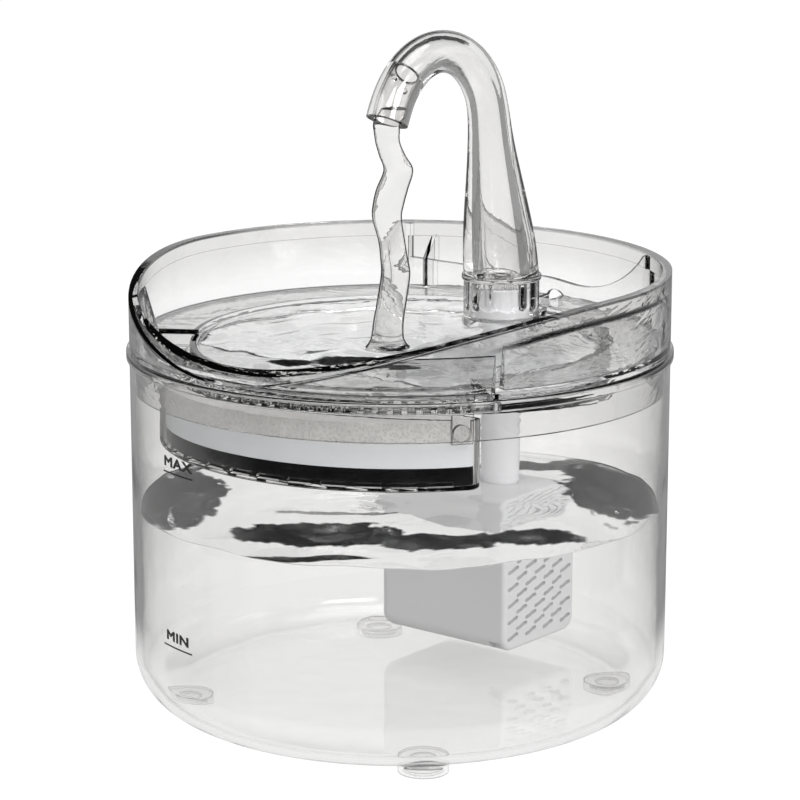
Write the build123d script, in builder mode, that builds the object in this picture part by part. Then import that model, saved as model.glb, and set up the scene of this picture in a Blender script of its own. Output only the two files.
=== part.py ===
from build123d import *
import math
import os

os.makedirs("parts", exist_ok=True)

# Free-standing pet water fountain: a clear round tank, a clear drinking tray that sits on it,
# a swan-neck spout, a half-moon filter case under the tray and a submersible pump hung on a
# riser pipe. Millimetres, +Z up, front towards -Y, origin under the centre of the feet.

# ------------------------------------------------------------------ driving dimensions: tank
tank_radius = 92.5          # outer radius of the straight wall
tank_wall = 2.5
tank_floor = 3.0
tank_height = 125.0         # underside of the floor to the rim
tank_corner = 18.0          # outer radius between wall and underside
bead_out = 1.1              # how far the rim bead stands out from the wall
bead_height = 3.4
bead_round = 0.8
bead_gap = 1.5              # from the cord slot to the ends of the bead
foot_height = 3.0
foot_radius = 8.5
foot_inset = 1.0            # centres of the feet inside the flat of the underside
foot_count = 4
foot_recess_radius = 4.5
foot_recess_depth = 1.0
cord_slot_width = 8.0
cord_slot_below = 4.6       # depth of the cord slot below the tank's rim
cord_slot_above = 5.0       # its height above the rim, in the tray's wall
cord_slot_reach = 8.5       # how far the slot reaches in from the tank's outside

# ------------------------------------------------------------------ driving dimensions: tray
skirt_gap = 0.4             # play between the tray's skirt and the tank's wall
skirt_wall = 2.0
skirt_depth = 13.0
tray_wall = 2.0             # thickness of the tray's outer wall
lip_wall = 3.2              # thickness of the band under its rim
lip_band = 5.5              # height of that band
rim_back = 27.0             # height of the rim above the tank at the back
rim_front = 1.8             # and at the front
rim_overrun = 7.5           # the rim's ellipse is this much longer than the tank's radius
rim_round = 0.7
seat_thickness = 2.0
deck_height = 3.0           # top of the rear deck above the tank's rim
deck_thickness = 2.0
pool_inset = 22.5           # pool's wall inside the tank's outer wall
pool_wall = 2.0
pool_floor = 2.0            # thickness of the pool's floor
pool_ring_height = 1.0      # top of the pool's ring above the tank's rim
pool_front_depth = 3.4      # floor below the tank's rim, at the pool's front
pool_back_depth = 13.0      # and at its back
pool_corner = 4.0
drain_end_wall = 2.4        # angle taken by the wall at each end of the drain crescent
drain_depth = 2.5           # top of the drain grid below the tank's rim
drain_thickness = 2.0
drain_row_gap = 3.0         # from the pool's ring to the first row of holes
drain_row_step = 4.4
drain_pitch = 3.2           # angle between the holes
drain_hole = (2.6, 2.6)     # radial and tangential size of a hole
bank_inset = 9.5            # foot of the bank round the drain, inside the tank's outer wall
bank_lean = 9.1             # how far the bank leans outwards from its foot to the tray's crest
bank_wall = 2.0
bank_half_angle = 60.0      # the bank runs this far each side of the front
partition_drop = 0.2        # flat top of the cord bay's wall below the pedestal's top
partition_wall = 2.0
partition_dip = 1.6
post_offset = 46.0          # distance of the bay's upright post from the middle

# ------------------------------------------------------------------ driving dimensions: spout
spout_inset = 12.5          # axis of the riser and of the spout, inside the pool's wall
pedestal_radius = 13.5
pedestal_wall = 2.0
pedestal_height = 14.0      # above the tank's rim
diaphragm_height = 1.0      # top of the web that carries the riser, above the tank's rim
diaphragm_thickness = 3.0
flange_radius = 14.2
flange_thickness = 2.0
locator_depth = 2.2         # how far the spout's locating ring enters the pedestal
locator_gap = 0.3
locator_wall = 1.7
key_width = 3.6             # key on the locating ring, in a notch of the pedestal's bore
key_reach = 0.9             # how far it enters the pedestal's wall
key_gap = 0.2
plug_radius = 4.4
plug_depth = 12.5
plug_bore = 2.8
neck_base_radius = 13.4
neck_tip_radius = 7.25
neck_taper = 64.0           # length along the axis over which the neck narrows
bore_base_radius = 6.6      # the neck's bore narrows with it
bore_tip_radius = 3.9
socket_radius = 5.6         # bore at the mouth, in which the nozzle sits
crook_radius = 28.5
crook_y = 21.0              # centre of the crook
crook_height = 69.5         # centre of the crook above the tank's rim
tip_angle = 25.0            # lean of the mouth from straight down
tip_straight = 5.0
nozzle_wall = 0.9
nozzle_gap = 0.05
nozzle_turn = 26.0          # angle of the crook that the nozzle's curved part fills
nozzle_pip = (0.9, 2.2)     # radius and height of the two pips inside the nozzle

# ------------------------------------------------------------------ driving dimensions: riser
riser_radius = 7.0
riser_bore = 5.0
riser_gap = 0.15            # play in the diaphragm's hole
riser_top = 11.0            # top of the riser above the tank's rim
riser_collar_radius = 9.5
riser_collar_height = 2.5
seal_section = 0.6          # section radius of the spout's sealing ring
seal_fit = 0.05
seal_drop = 7.0             # sealing ring below the flange

# ------------------------------------------------------------------ driving dimensions: filter
case_inset = 10.5           # case's front wall inside the tank's outer wall
case_chord = 40.0           # distance of the case's flat back wall from the centre
case_corner = 5.0
case_wall = 1.6
case_floor = 1.5
case_bottom = 31.0          # underside of the case below the tank's rim
case_gap = 0.5              # clearance under the pool's floor and the drain grid
case_slot = (1.6, 9.0)      # width and length of a slot in the case's floor
case_slot_pitch = (5.0, 12.0)
case_slot_counts = (9, 7)
edge_slot = (8.5, 1.5)      # slots through the foot of the front wall
edge_slot_pitch = 8.0       # angle between them
hook_angle = 52.5
hook_width = 7.0
hook_wall = 1.8
hook_gap = 0.4
hook_drop = 15.0            # bottom of the hook below the tank's rim
lug_radius = 2.8
lug_play = 0.3
lug_drop = 11.5             # axis of the lug below the tank's rim
layer_gap = 0.4             # play round the filter layers
carbon_height = 6.2
cotton_height = 8.0
sponge_height = 7.2

# ------------------------------------------------------------------ driving dimensions: pump
pump_back = -36.0           # rear face
pump_seam = -2.0            # joint between the housing and the intake cover
pump_front = 21.0           # face of the intake grille
pump_offset = 4.5           # middle of the pump in front of the riser's axis
pump_width = 42.0
pump_bottom = 13.0
pump_height = 47.0
pump_corner = 5.0
pump_wall = 2.5
rotor_z = 40.0              # height of the rotor's axis
chamber_back = -8.0
chamber_front = 8.0
chamber_radius = 14.0
chamber_wall = 2.0
well_bore = 7.3
well_wall = 1.5
well_end = -32.0
well_cap = 1.5
cavity_front = -11.0
potting_recess = 0.8        # potting below the rim of its opening, at the pump's far side
rear_round = 5.0            # rounding of the housing's closed end
outlet_collar_height = 3.0  # above the pump's top
outlet_length = 10.0
outlet_gap = 0.05
outlet_bore = 3.6
cover_wall = 2.0
cover_gap = 0.3
cover_round = 1.5
grille_slot = (6.4, 1.4)    # length and width of a slot
grille_wave = 0.55          # half height of its wave
grille_pitch = (10.4, 6.2)
grille_counts = (4, 7)
tab_notch = (5.0, 3.2)
intake_sponge_depth = 5.5
volute_thickness = 2.0
volute_eye = 6.5
volute_gap = 0.1
volute_hub = 3.6
volute_hub_length = 3.4
volute_spoke = 1.4
volute_spokes = 3
bush_radius = 2.4
bush_pocket = 2.4
shaft_radius = 1.1
shaft_fit = 0.05
bush_fit = 0.02
bush_length = 1.6
hub_radius = 4.5
impeller_radius = 12.4
impeller_back = -5.0
impeller_width = 9.0
blade_thickness = 1.3
blade_count = 6
blade_sweep = 9.0
magnet_radius = 6.9
magnet_length = 19.5
core_width = 31.0
core_bottom = 20.5
core_top = 50.0
core_depth = 12.0
core_centre = -21.0
core_gap = 0.3
yoke_height = 6.5
coil_build = 3.3
coil_width = 16.0
gland_x = -23.0
gland_z = 50.0
gland_radius = 4.2
gland_length = 8.0
gland_bore = 1.8
gland_step = 0.5
gland_lip = 0.9             # wall of the gland at its narrow end

# ------------------------------------------------------------------ levels and derived sizes
pool_radius = tank_radius - pool_inset
bank_foot = tank_radius - bank_inset
case_radius = tank_radius - case_inset
foot_circle = tank_radius - tank_corner - foot_inset
cord_slot_start = tank_radius - cord_slot_reach
rim_run = tank_radius + rim_overrun
spout_y = pool_radius - spout_inset
pump_y = spout_y - pump_offset
tank_bottom = foot_height
rim_z = tank_bottom + tank_height
tank_inside = tank_radius - tank_wall
floor_z = tank_bottom + tank_floor
skirt_radius = tank_inside - skirt_gap
skirt_inside = skirt_radius - skirt_wall
tray_top = rim_z + rim_back
deck_z = rim_z + deck_height
deck_under = deck_z - deck_thickness
grid_z = rim_z - drain_depth
grid_under = grid_z - drain_thickness
ring_radius = pool_radius + pool_wall
drain_rows = (ring_radius + drain_row_gap, ring_radius + drain_row_gap + drain_row_step)
bank_slope = bank_lean / (tray_top - grid_under)
pedestal_top = rim_z + pedestal_height
pedestal_bore = pedestal_radius - pedestal_wall
diaphragm_z = rim_z + diaphragm_height
partition_y = spout_y + pedestal_radius - partition_wall / 4
bay_y = partition_y + partition_wall
riser_top_z = rim_z + riser_top
pump_top = pump_bottom + pump_height
outlet_z = pump_top + outlet_collar_height
case_z = rim_z - case_bottom
drain_half_angle = bank_half_angle - drain_end_wall
everywhere = 3 * tank_radius

# height lost along the rim's ellipse from the crest to the front
rim_drop = (rim_back - rim_front) / (1 - math.sqrt(1 - (tank_radius / rim_run) ** 2))

# hooks and lugs that carry the filter case
hook_plane_angles = (-90 - hook_angle, -90 + hook_angle)
hook_radius = case_radius + hook_gap + hook_wall / 2
lug_z = rim_z - lug_drop

# the pool's floor is a plane that falls from the front to the back
pool_fall = (pool_back_depth - pool_front_depth) / (2 * pool_radius)
pool_middle = rim_z - (pool_front_depth + pool_back_depth) / 2


def pool_plane(offset):
    """Plane of the pool's floor, moved up or down by offset."""
    return Plane(origin=(0, 0, pool_middle + offset), x_dir=(1, 0, 0), z_dir=(0, pool_fall, 1))


def front_sector(half_angle, mode=Mode.ADD):
    """Wedge about the front of the object, for use inside a sketch."""
    side = everywhere * math.tan(math.radians(half_angle))
    return Polygon((0, 0), (-side, -everywhere), (side, -everywhere), align=None, mode=mode)


def above_rim(drop):
    """Region of the YZ plane above the rim's line, the line being lowered by drop."""
    crest = tray_top - drop
    with BuildSketch(Plane.YZ) as region:
        with BuildLine():
            front = EllipticalCenterArc((0, crest - rim_drop), rim_run, rim_drop, 90, arc_size=90)
            Polyline(
                front @ 1,
                (-everywhere, crest - rim_drop),
                (-everywhere, everywhere),
                (everywhere, everywhere),
                (everywhere, crest),
                front @ 0,
            )
        make_face()
    return region.sketch


def facing(angle, radius, height):
    """Upright plane that faces outwards at angle from +X, its own y axis pointing up."""
    turn = math.radians(angle)
    outward = (math.cos(turn), math.sin(turn), 0)
    origin = (radius * outward[0], radius * outward[1], height)
    return Plane(origin=origin, x_dir=(-outward[1], outward[0], 0), z_dir=outward)


def half_moon(inset):
    """Outline of the filter case, drawn in by inset."""
    with BuildSketch() as outline:
        Circle(case_radius - inset)
        with Locations((0, -case_chord - inset)):
            Rectangle(everywhere, everywhere, align=(Align.CENTER, Align.MAX), mode=Mode.INTERSECT)
        fillet(outline.vertices(), max(case_corner - inset, 1.0))
    return outline.sketch


# ------------------------------------------------------------------ tank
with BuildPart() as tank_shape:
    with BuildSketch(Plane.XZ):
        with BuildLine():
            Line((0, tank_bottom), (tank_radius - tank_corner, tank_bottom))
            RadiusArc(
                (tank_radius - tank_corner, tank_bottom),
                (tank_radius, tank_bottom + tank_corner),
                -tank_corner,
            )
            Polyline((tank_radius, tank_bottom + tank_corner), (tank_radius, rim_z), (0, rim_z), (0, tank_bottom))
        make_face()
    revolve(axis=Axis.Z)

with BuildPart() as tank_space:
    inner_corner = tank_corner - tank_wall
    with BuildSketch(Plane.XZ):
        with BuildLine():
            Line((0, floor_z), (tank_inside - inner_corner, floor_z))
            RadiusArc(
                (tank_inside - inner_corner, floor_z),
                (tank_inside, floor_z + inner_corner),
                -inner_corner,
            )
            Polyline((tank_inside, floor_z + inner_corner), (tank_inside, rim_z + 1), (0, rim_z + 1), (0, floor_z))
        make_face()
    revolve(axis=Axis.Z)

with BuildPart() as cord_slot:
    with BuildSketch(Plane.XZ.offset(-cord_slot_start)):
        with Locations((0, rim_z - cord_slot_below)):
            SlotOverall(
                cord_slot_below + cord_slot_above,
                cord_slot_width,
                rotation=90,
                align=(Align.MIN, Align.CENTER),
            )
    extrude(amount=-(tank_radius + 2 * bead_out - cord_slot_start))

with BuildPart() as tank:
    # rolled bead, broken where the cord leaves
    with BuildSketch(Plane.XZ) as bead:
        with Locations((tank_radius + bead_out, rim_z)):
            Rectangle(bead_out + tank_wall / 2, bead_height, align=(Align.MAX, Align.MAX))
        fillet(bead.vertices().group_by(Axis.X)[-1], bead_round)
    revolve(axis=Axis.Z)
    with BuildSketch(Plane.XY.offset(rim_z)):
        with Locations((0, cord_slot_start)):
            Rectangle(cord_slot_width + 2 * bead_gap, everywhere, align=(Align.CENTER, Align.MIN))
    extrude(amount=-everywhere, mode=Mode.SUBTRACT)
    add(tank_shape.part)
    add(tank_space.part, mode=Mode.SUBTRACT)
    add(cord_slot.part, mode=Mode.SUBTRACT)
tank.part.label = "tank"
export_step(tank.part, "parts/tank.step")

# ------------------------------------------------------------------ feet
with BuildPart() as tank_feet:
    with BuildSketch(Plane.XY):
        with PolarLocations(foot_circle, foot_count, start_angle=180 / foot_count):
            Circle(foot_radius)
    extrude(amount=foot_height + tank_corner)
    with BuildSketch(Plane.XY):
        with PolarLocations(foot_circle, foot_count, start_angle=180 / foot_count):
            Circle(foot_recess_radius)
    extrude(amount=foot_recess_depth, mode=Mode.SUBTRACT)
    add(tank_shape.part, mode=Mode.SUBTRACT)
    with BuildSketch(Plane.XY.offset(tank_bottom + tank_corner)):
        Circle(everywhere)
    extrude(amount=-(tank_corner - foot_height), mode=Mode.SUBTRACT)
tank_feet.part.label = "tank_feet"
export_step(tank_feet.part, "parts/tank_feet.step")

# ------------------------------------------------------------------ tray: pool and pedestal
with BuildPart() as pool_space:
    with BuildSketch(Plane.XY.offset(case_z)):
        Circle(pool_radius)
    extrude(amount=tray_top - case_z)
    split(bisect_by=pool_plane(0), keep=Keep.TOP)
    fillet(pool_space.faces().sort_by(Axis.Z)[0].edges(), pool_corner)

with BuildPart() as pool:
    with BuildSketch(Plane.XY.offset(case_z)):
        Circle(ring_radius)
    extrude(amount=rim_z + pool_ring_height - case_z)
    add(pool_space.part, mode=Mode.SUBTRACT)
    with BuildSketch(Plane.XY.offset(case_z)):
        with Locations((0, spout_y)):
            Circle(pedestal_radius)
    extrude(amount=pedestal_top - case_z)
    with BuildSketch(Plane.XY.offset(case_z)):
        with Locations((0, spout_y)):
            Rectangle(2 * pedestal_bore, everywhere, align=(Align.CENTER, Align.MIN))
        Circle(pool_radius + pool_wall / 2, mode=Mode.INTERSECT)
    extrude(amount=deck_under + deck_thickness / 2 - case_z)
    split(bisect_by=pool_plane(-pool_floor), keep=Keep.TOP)
    with BuildSketch(Plane.XY.offset(case_z)):
        with Locations((0, spout_y)):
            Circle(pedestal_bore)
    extrude(amount=diaphragm_z - diaphragm_thickness - case_z, mode=Mode.SUBTRACT)
    with BuildSketch(Plane.XY.offset(diaphragm_z)):
        with Locations((0, spout_y)):
            Circle(pedestal_bore)
    extrude(amount=pedestal_top - diaphragm_z, mode=Mode.SUBTRACT)
    with BuildSketch(Plane.XY.offset(pedestal_top)):
        with Locations((0, spout_y - pedestal_bore)):
            Rectangle(key_width + 2 * key_gap, 2 * (key_reach + key_gap))
    extrude(amount=-(locator_depth + key_gap), mode=Mode.SUBTRACT)
    with BuildSketch(Plane.XY.offset(diaphragm_z - diaphragm_thickness)):
        with Locations((0, spout_y)):
            Circle(riser_radius + riser_gap)
    extrude(amount=diaphragm_thickness, mode=Mode.SUBTRACT)

# ------------------------------------------------------------------ tray: bank round the drain
bank_top = bank_foot + bank_lean
bank_space_foot = bank_foot + bank_wall
bank_space_top = grid_under + (tank_radius - tray_wall - bank_space_foot) / bank_slope

with BuildPart() as bank_space:
    with BuildSketch(Plane.XZ):
        Polygon(
            (bank_space_foot, grid_under),
            (skirt_inside, grid_under),
            (skirt_inside, rim_z + seat_thickness),
            (tank_radius - tray_wall, rim_z + seat_thickness),
            (tank_radius - tray_wall, bank_space_top),
            align=None,
        )
    revolve(axis=Axis.Z)
    with BuildSketch(Plane.XY.offset(grid_under)):
        front_sector(drain_half_angle + drain_end_wall / 4)
    extrude(amount=everywhere, mode=Mode.INTERSECT)
    extrude(above_rim(bank_wall), amount=everywhere, both=True, mode=Mode.SUBTRACT)

with BuildPart() as bank:
    with BuildSketch(Plane.XZ):
        Polygon(
            (bank_foot, grid_under),
            (bank_top, tray_top),
            (tank_radius, tray_top),
            (tank_radius, rim_z),
            (skirt_inside + skirt_wall / 2, rim_z),
            (skirt_inside + skirt_wall / 2, grid_under),
            align=None,
        )
    revolve(axis=Axis.Z)
    with BuildSketch(Plane.XY.offset(grid_under)):
        front_sector(bank_half_angle)
    extrude(amount=everywhere, mode=Mode.INTERSECT)

# ------------------------------------------------------------------ tray
drain_count = 2 * int((drain_half_angle - drain_pitch) / drain_pitch) + 1
drain_spread = (drain_count - 1) * drain_pitch
bay_half = math.sqrt((tank_radius - lip_wall) ** 2 - bay_y**2)
post_end = math.sqrt((tank_radius - tray_wall / 2) ** 2 - (post_offset + partition_wall / 2) ** 2)
flat_z = pedestal_top - partition_drop
dip_x = bay_half / 2

with BuildPart() as tray:
    # band under the rim, then the wall below it
    with BuildSketch(Plane.XY.offset(rim_z)):
        Circle(tank_radius)
        Circle(tank_radius - lip_wall, mode=Mode.SUBTRACT)
    extrude(amount=rim_back)
    extrude(above_rim(lip_band), amount=everywhere, both=True, mode=Mode.INTERSECT)
    with BuildSketch(Plane.XY.offset(rim_z)):
        Circle(tank_radius)
        Circle(tank_radius - tray_wall, mode=Mode.SUBTRACT)
    extrude(amount=rim_back)
    # seat on the tank's rim, and the skirt inside it
    with BuildSketch(Plane.XY.offset(rim_z)):
        Circle(tank_radius)
        Circle(skirt_inside, mode=Mode.SUBTRACT)
    extrude(amount=seat_thickness)
    with BuildSketch(Plane.XY.offset(rim_z)):
        Circle(skirt_radius)
        Circle(skirt_inside, mode=Mode.SUBTRACT)
    extrude(amount=-skirt_depth)
    # rear deck
    with BuildSketch(Plane.XY.offset(deck_under)):
        Circle(tank_radius - tray_wall / 2)
        Circle(pool_radius, mode=Mode.SUBTRACT)
    extrude(amount=deck_thickness)
    # sunken drain crescent
    with BuildSketch(Plane.XY.offset(grid_under)):
        Circle(bank_foot + bank_wall / 2)
        Circle(pool_radius + pool_wall / 2, mode=Mode.SUBTRACT)
        front_sector(bank_half_angle - drain_end_wall / 3, mode=Mode.INTERSECT)
    extrude(amount=deck_under + deck_thickness / 2 - grid_under)
    with BuildSketch(Plane.XY.offset(grid_z)):
        Circle(bank_foot + bank_wall / 2)
        Circle(ring_radius - pool_wall / 4, mode=Mode.SUBTRACT)
        front_sector(drain_half_angle, mode=Mode.INTERSECT)
    extrude(amount=everywhere, mode=Mode.SUBTRACT)
    with BuildSketch(Plane.XY.offset(rim_z + pool_ring_height)):
        Circle(ring_radius)
        front_sector(drain_half_angle, mode=Mode.INTERSECT)
    extrude(amount=everywhere, mode=Mode.SUBTRACT)
    add(bank.part)
    add(bank_space.part, mode=Mode.SUBTRACT)
    extrude(above_rim(0), amount=everywhere, both=True, mode=Mode.SUBTRACT)
    add(pool.part)
    # wall of the cord bay behind the spout
    with BuildSketch(Plane.XY.offset(deck_under)):
        with Locations((0, partition_y)):
            Rectangle(everywhere, partition_wall, align=(Align.CENTER, Align.MIN))
        Circle(tank_radius - tray_wall / 2, mode=Mode.INTERSECT)
    extrude(amount=tray_top - rim_round - deck_under)
    with BuildSketch(Plane.XZ.offset(-bay_y)):
        with BuildLine():
            flat = Polyline((-bay_half, tray_top), (-bay_half, flat_z), (dip_x / 3, flat_z))
            dip = Spline(flat @ 1, (dip_x, flat_z - partition_dip), tangents=((1, 0), (1, 0)))
            climb = TangentArc(dip @ 1, (bay_half, tray_top), tangent=(1, 0))
            Line(climb @ 1, flat @ 0)
        make_face()
    extrude(amount=partition_wall, mode=Mode.SUBTRACT)
    with BuildSketch(Plane.YZ.offset(-post_offset)):
        Polygon(
            (partition_y + partition_wall / 2, deck_under),
            (post_end, deck_under),
            (post_end, tray_top - lip_band / 2),
            (partition_y + partition_wall / 2, flat_z),
            align=None,
        )
    extrude(amount=partition_wall / 2, both=True)
    # drain holes
    with BuildSketch(Plane.XY.offset(grid_z)):
        for row in drain_rows:
            with PolarLocations(row, drain_count, -90 - drain_spread / 2, drain_spread, endpoint=True):
                Rectangle(*drain_hole)
    extrude(amount=-drain_thickness, mode=Mode.SUBTRACT)
    # hooks for the filter case, each with a lug
    with BuildSketch(Plane.XY.offset(rim_z - hook_drop)):
        with PolarLocations(hook_radius, 2, -90 - hook_angle, 2 * hook_angle, endpoint=True):
            Rectangle(hook_wall, hook_width)
    extrude(amount=hook_drop - drain_depth - drain_thickness / 2)
    for angle in hook_plane_angles:
        with BuildSketch(facing(angle, hook_radius, lug_z)):
            Circle(lug_radius)
        extrude(amount=-(hook_wall / 2 + hook_gap + case_wall))
    add(cord_slot.part, mode=Mode.SUBTRACT)
tray.part.label = "tray"
export_step(tray.part, "parts/tray.step")

# ------------------------------------------------------------------ spout: line of the neck
neck_z = pedestal_top + flange_thickness
crook_z = rim_z + crook_height
neck_reach = math.hypot(crook_y - spout_y, crook_z - neck_z)
neck_run = math.sqrt(neck_reach**2 - crook_radius**2)
neck_aim = math.degrees(math.atan2(crook_z - neck_z, crook_y - spout_y) - math.asin(crook_radius / neck_reach))
crook_start = neck_aim - 90
crook_turn = 180 - tip_angle - crook_start

with BuildLine(Plane.YZ) as neck_line:
    column = PolarLine((spout_y, neck_z), neck_run, neck_aim)
    crook = CenterArc((crook_y, crook_z), crook_radius, crook_start, crook_turn)
    PolarLine(crook @ 1, tip_straight, crook_start + crook_turn + 90)
neck_path = neck_line.wire()

with BuildLine(Plane.YZ) as nozzle_line:
    turn = CenterArc((crook_y, crook_z), crook_radius, crook_start + crook_turn - nozzle_turn, nozzle_turn)
    PolarLine(turn @ 1, tip_straight, crook_start + crook_turn + 90)
nozzle_path = nozzle_line.wire()


def narrowing(distance, base, tip):
    """Radius at a distance along the neck's line, going from base to tip in a smooth S."""
    share = min(distance / neck_taper, 1)
    return base + (tip - base) * share**2 * (3 - 2 * share)


def neck_plane(distance):
    """Plane square to the neck's line, level at its foot."""
    if distance == 0:
        return Plane.XY.offset(neck_z) * Location((0, spout_y, 0))
    point = neck_path.position_at(distance, position_mode=PositionMode.LENGTH)
    along = neck_path.tangent_at(distance, position_mode=PositionMode.LENGTH)
    return Plane(origin=point, x_dir=(1, 0, 0), z_dir=along)


neck_steps = 14
neck_stations = [neck_path.length * step / neck_steps for step in range(neck_steps + 1)]

with BuildPart() as neck_space:
    for station in neck_stations:
        with BuildSketch(neck_plane(station)):
            Circle(narrowing(station, bore_base_radius, bore_tip_radius))
    loft()

with BuildPart() as nozzle_socket:
    with BuildSketch(Plane(origin=nozzle_path @ 0, x_dir=(1, 0, 0), z_dir=nozzle_path % 0)):
        Circle(socket_radius)
    sweep(path=nozzle_path)

# ------------------------------------------------------------------ spout neck
with BuildPart() as spout_neck:
    for station in neck_stations:
        with BuildSketch(neck_plane(station)):
            Circle(narrowing(station, neck_base_radius, neck_tip_radius))
    loft()
    add(neck_space.part, mode=Mode.SUBTRACT)
    add(nozzle_socket.part, mode=Mode.SUBTRACT)
    with BuildSketch(Plane.XY.offset(pedestal_top)):
        with Locations((0, spout_y)):
            Circle(flange_radius)
    extrude(amount=flange_thickness)
    fillet(spout_neck.edges().filter_by(GeomType.CIRCLE).filter_by(lambda e: e.radius == flange_radius), flange_thickness / 4)
    with BuildSketch(Plane.XY.offset(pedestal_top)):
        with Locations((0, spout_y)):
            Circle(pedestal_bore - locator_gap)
            Circle(pedestal_bore - locator_gap - locator_wall, mode=Mode.SUBTRACT)
            with Locations((0, -pedestal_bore - key_reach)):
                Rectangle(key_width, key_reach + locator_wall, align=(Align.CENTER, Align.MIN))
    extrude(amount=-locator_depth)
    with BuildSketch(Plane.XY.offset(pedestal_top)):
        with Locations((0, spout_y)):
            Circle(plug_radius)
    extrude(amount=-plug_depth)
    with BuildSketch(Plane.XY.offset(pedestal_top - seal_drop)):
        with Locations((0, spout_y)):
            Circle(plug_radius)
            Circle(riser_bore - seal_fit - 2 * seal_section, mode=Mode.SUBTRACT)
    extrude(amount=seal_section, both=True, mode=Mode.SUBTRACT)
    with BuildSketch(Plane.XY.offset(pedestal_top - plug_depth)):
        with Locations((0, spout_y)):
            Circle(plug_bore)
    extrude(amount=plug_depth + flange_thickness, mode=Mode.SUBTRACT)
spout_neck.part.label = "spout_neck"
export_step(spout_neck.part, "parts/spout_neck.step")

# ------------------------------------------------------------------ spout nozzle
pip_radius, pip_height = nozzle_pip

with BuildPart() as spout_nozzle:
    with BuildSketch(Plane(origin=nozzle_path @ 0, x_dir=(1, 0, 0), z_dir=nozzle_path % 0)):
        Circle(socket_radius - nozzle_gap)
        Circle(socket_radius - nozzle_gap - nozzle_wall, mode=Mode.SUBTRACT)
    sweep(path=nozzle_path)
    for side in (-1, 1):
        inner_wall = Vector(0, side * (socket_radius - nozzle_gap - nozzle_wall / 2), 0)
        root = Plane(origin=nozzle_path @ 0.25, x_dir=(1, 0, 0), z_dir=nozzle_path % 0.25)
        inward = root.from_local_coords(Vector(0, 0, 0)) - root.from_local_coords(inner_wall)
        with BuildSketch(Plane(origin=root.from_local_coords(inner_wall), x_dir=(1, 0, 0), z_dir=inward)):
            Circle(pip_radius)
        extrude(amount=pip_height)
spout_nozzle.part.label = "spout_nozzle"
export_step(spout_nozzle.part, "parts/spout_nozzle.step")

# ------------------------------------------------------------------ sealing ring of the spout
with BuildPart() as spout_seal:
    with BuildSketch(Plane.XZ.offset(-spout_y)):
        with Locations((riser_bore - seal_fit - seal_section, pedestal_top - seal_drop)):
            Circle(seal_section)
    revolve(axis=Axis((0, spout_y, 0), (0, 0, 1)))
spout_seal.part.label = "spout_seal"
export_step(spout_seal.part, "parts/spout_seal.step")

# ------------------------------------------------------------------ riser pipe
with BuildPart() as riser_pipe:
    with BuildSketch(Plane.XY.offset(outlet_z)):
        with Locations((0, spout_y)):
            Circle(riser_radius)
    extrude(amount=riser_top_z - outlet_z)
    with BuildSketch(Plane.XY.offset(diaphragm_z)):
        with Locations((0, spout_y)):
            Circle(riser_collar_radius)
    extrude(amount=riser_collar_height)
    with BuildSketch(Plane.XY.offset(outlet_z)):
        with Locations((0, spout_y)):
            Circle(riser_bore)
    extrude(amount=riser_top_z - outlet_z, mode=Mode.SUBTRACT)
    chamfer(riser_pipe.faces().sort_by(Axis.Z)[-1].edges(), riser_bore / 12)
riser_pipe.part.label = "riser_pipe"
export_step(riser_pipe.part, "parts/riser_pipe.step")

# ------------------------------------------------------------------ filter case
case_top = grid_under - case_gap
case_inside = case_z + case_floor
edge_count = 2 * int(hook_angle / edge_slot_pitch) + 1
edge_spread = (edge_count - 1) * edge_slot_pitch

with BuildPart() as filter_case:
    with BuildSketch(Plane.XY.offset(case_z)):
        add(half_moon(0))
    extrude(amount=case_top - case_z)
    fillet(filter_case.faces().sort_by(Axis.Z)[0].edges(), case_floor / 2)
    with BuildSketch(Plane.XY.offset(case_inside)):
        add(half_moon(case_wall))
    extrude(amount=case_top - case_inside, mode=Mode.SUBTRACT)
    split(bisect_by=pool_plane(-pool_floor - case_gap), keep=Keep.BOTTOM)
    with BuildSketch(Plane.XY.offset(case_z)):
        with Locations((0, -(case_radius + case_chord) / 2)):
            with GridLocations(case_slot_pitch[1], case_slot_pitch[0], *case_slot_counts):
                SlotOverall(case_slot[1], case_slot[0])
        add(half_moon(2 * case_wall + case_floor), mode=Mode.INTERSECT)
    extrude(amount=case_floor, mode=Mode.SUBTRACT)
    with BuildSketch(Plane.XY.offset(case_inside)):
        with PolarLocations(case_radius - case_wall / 2, edge_count, -90 - edge_spread / 2, edge_spread, endpoint=True):
            Rectangle(2 * case_wall, edge_slot[0])
    extrude(amount=edge_slot[1], mode=Mode.SUBTRACT)
    for angle in hook_plane_angles:
        with BuildSketch(facing(angle, case_radius + hook_gap, lug_z)):
            Circle(lug_radius + lug_play)
            Rectangle(2 * (lug_radius + lug_play), everywhere, align=(Align.CENTER, Align.MIN))
        extrude(amount=-(hook_gap + 2 * case_wall), mode=Mode.SUBTRACT)
filter_case.part.label = "filter_case"
export_step(filter_case.part, "parts/filter_case.step")

# ------------------------------------------------------------------ filter layers, lowest first
carbon_z = case_inside
cotton_z = carbon_z + carbon_height
sponge_z = cotton_z + cotton_height

with BuildPart() as carbon_layer:
    with BuildSketch(Plane.XY.offset(carbon_z)):
        add(half_moon(case_wall + layer_gap))
    extrude(amount=carbon_height)
carbon_layer.part.label = "carbon_layer"
export_step(carbon_layer.part, "parts/carbon_layer.step")

with BuildPart() as cotton_layer:
    with BuildSketch(Plane.XY.offset(cotton_z)):
        add(half_moon(case_wall + layer_gap))
    extrude(amount=cotton_height)
cotton_layer.part.label = "cotton_layer"
export_step(cotton_layer.part, "parts/cotton_layer.step")

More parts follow.
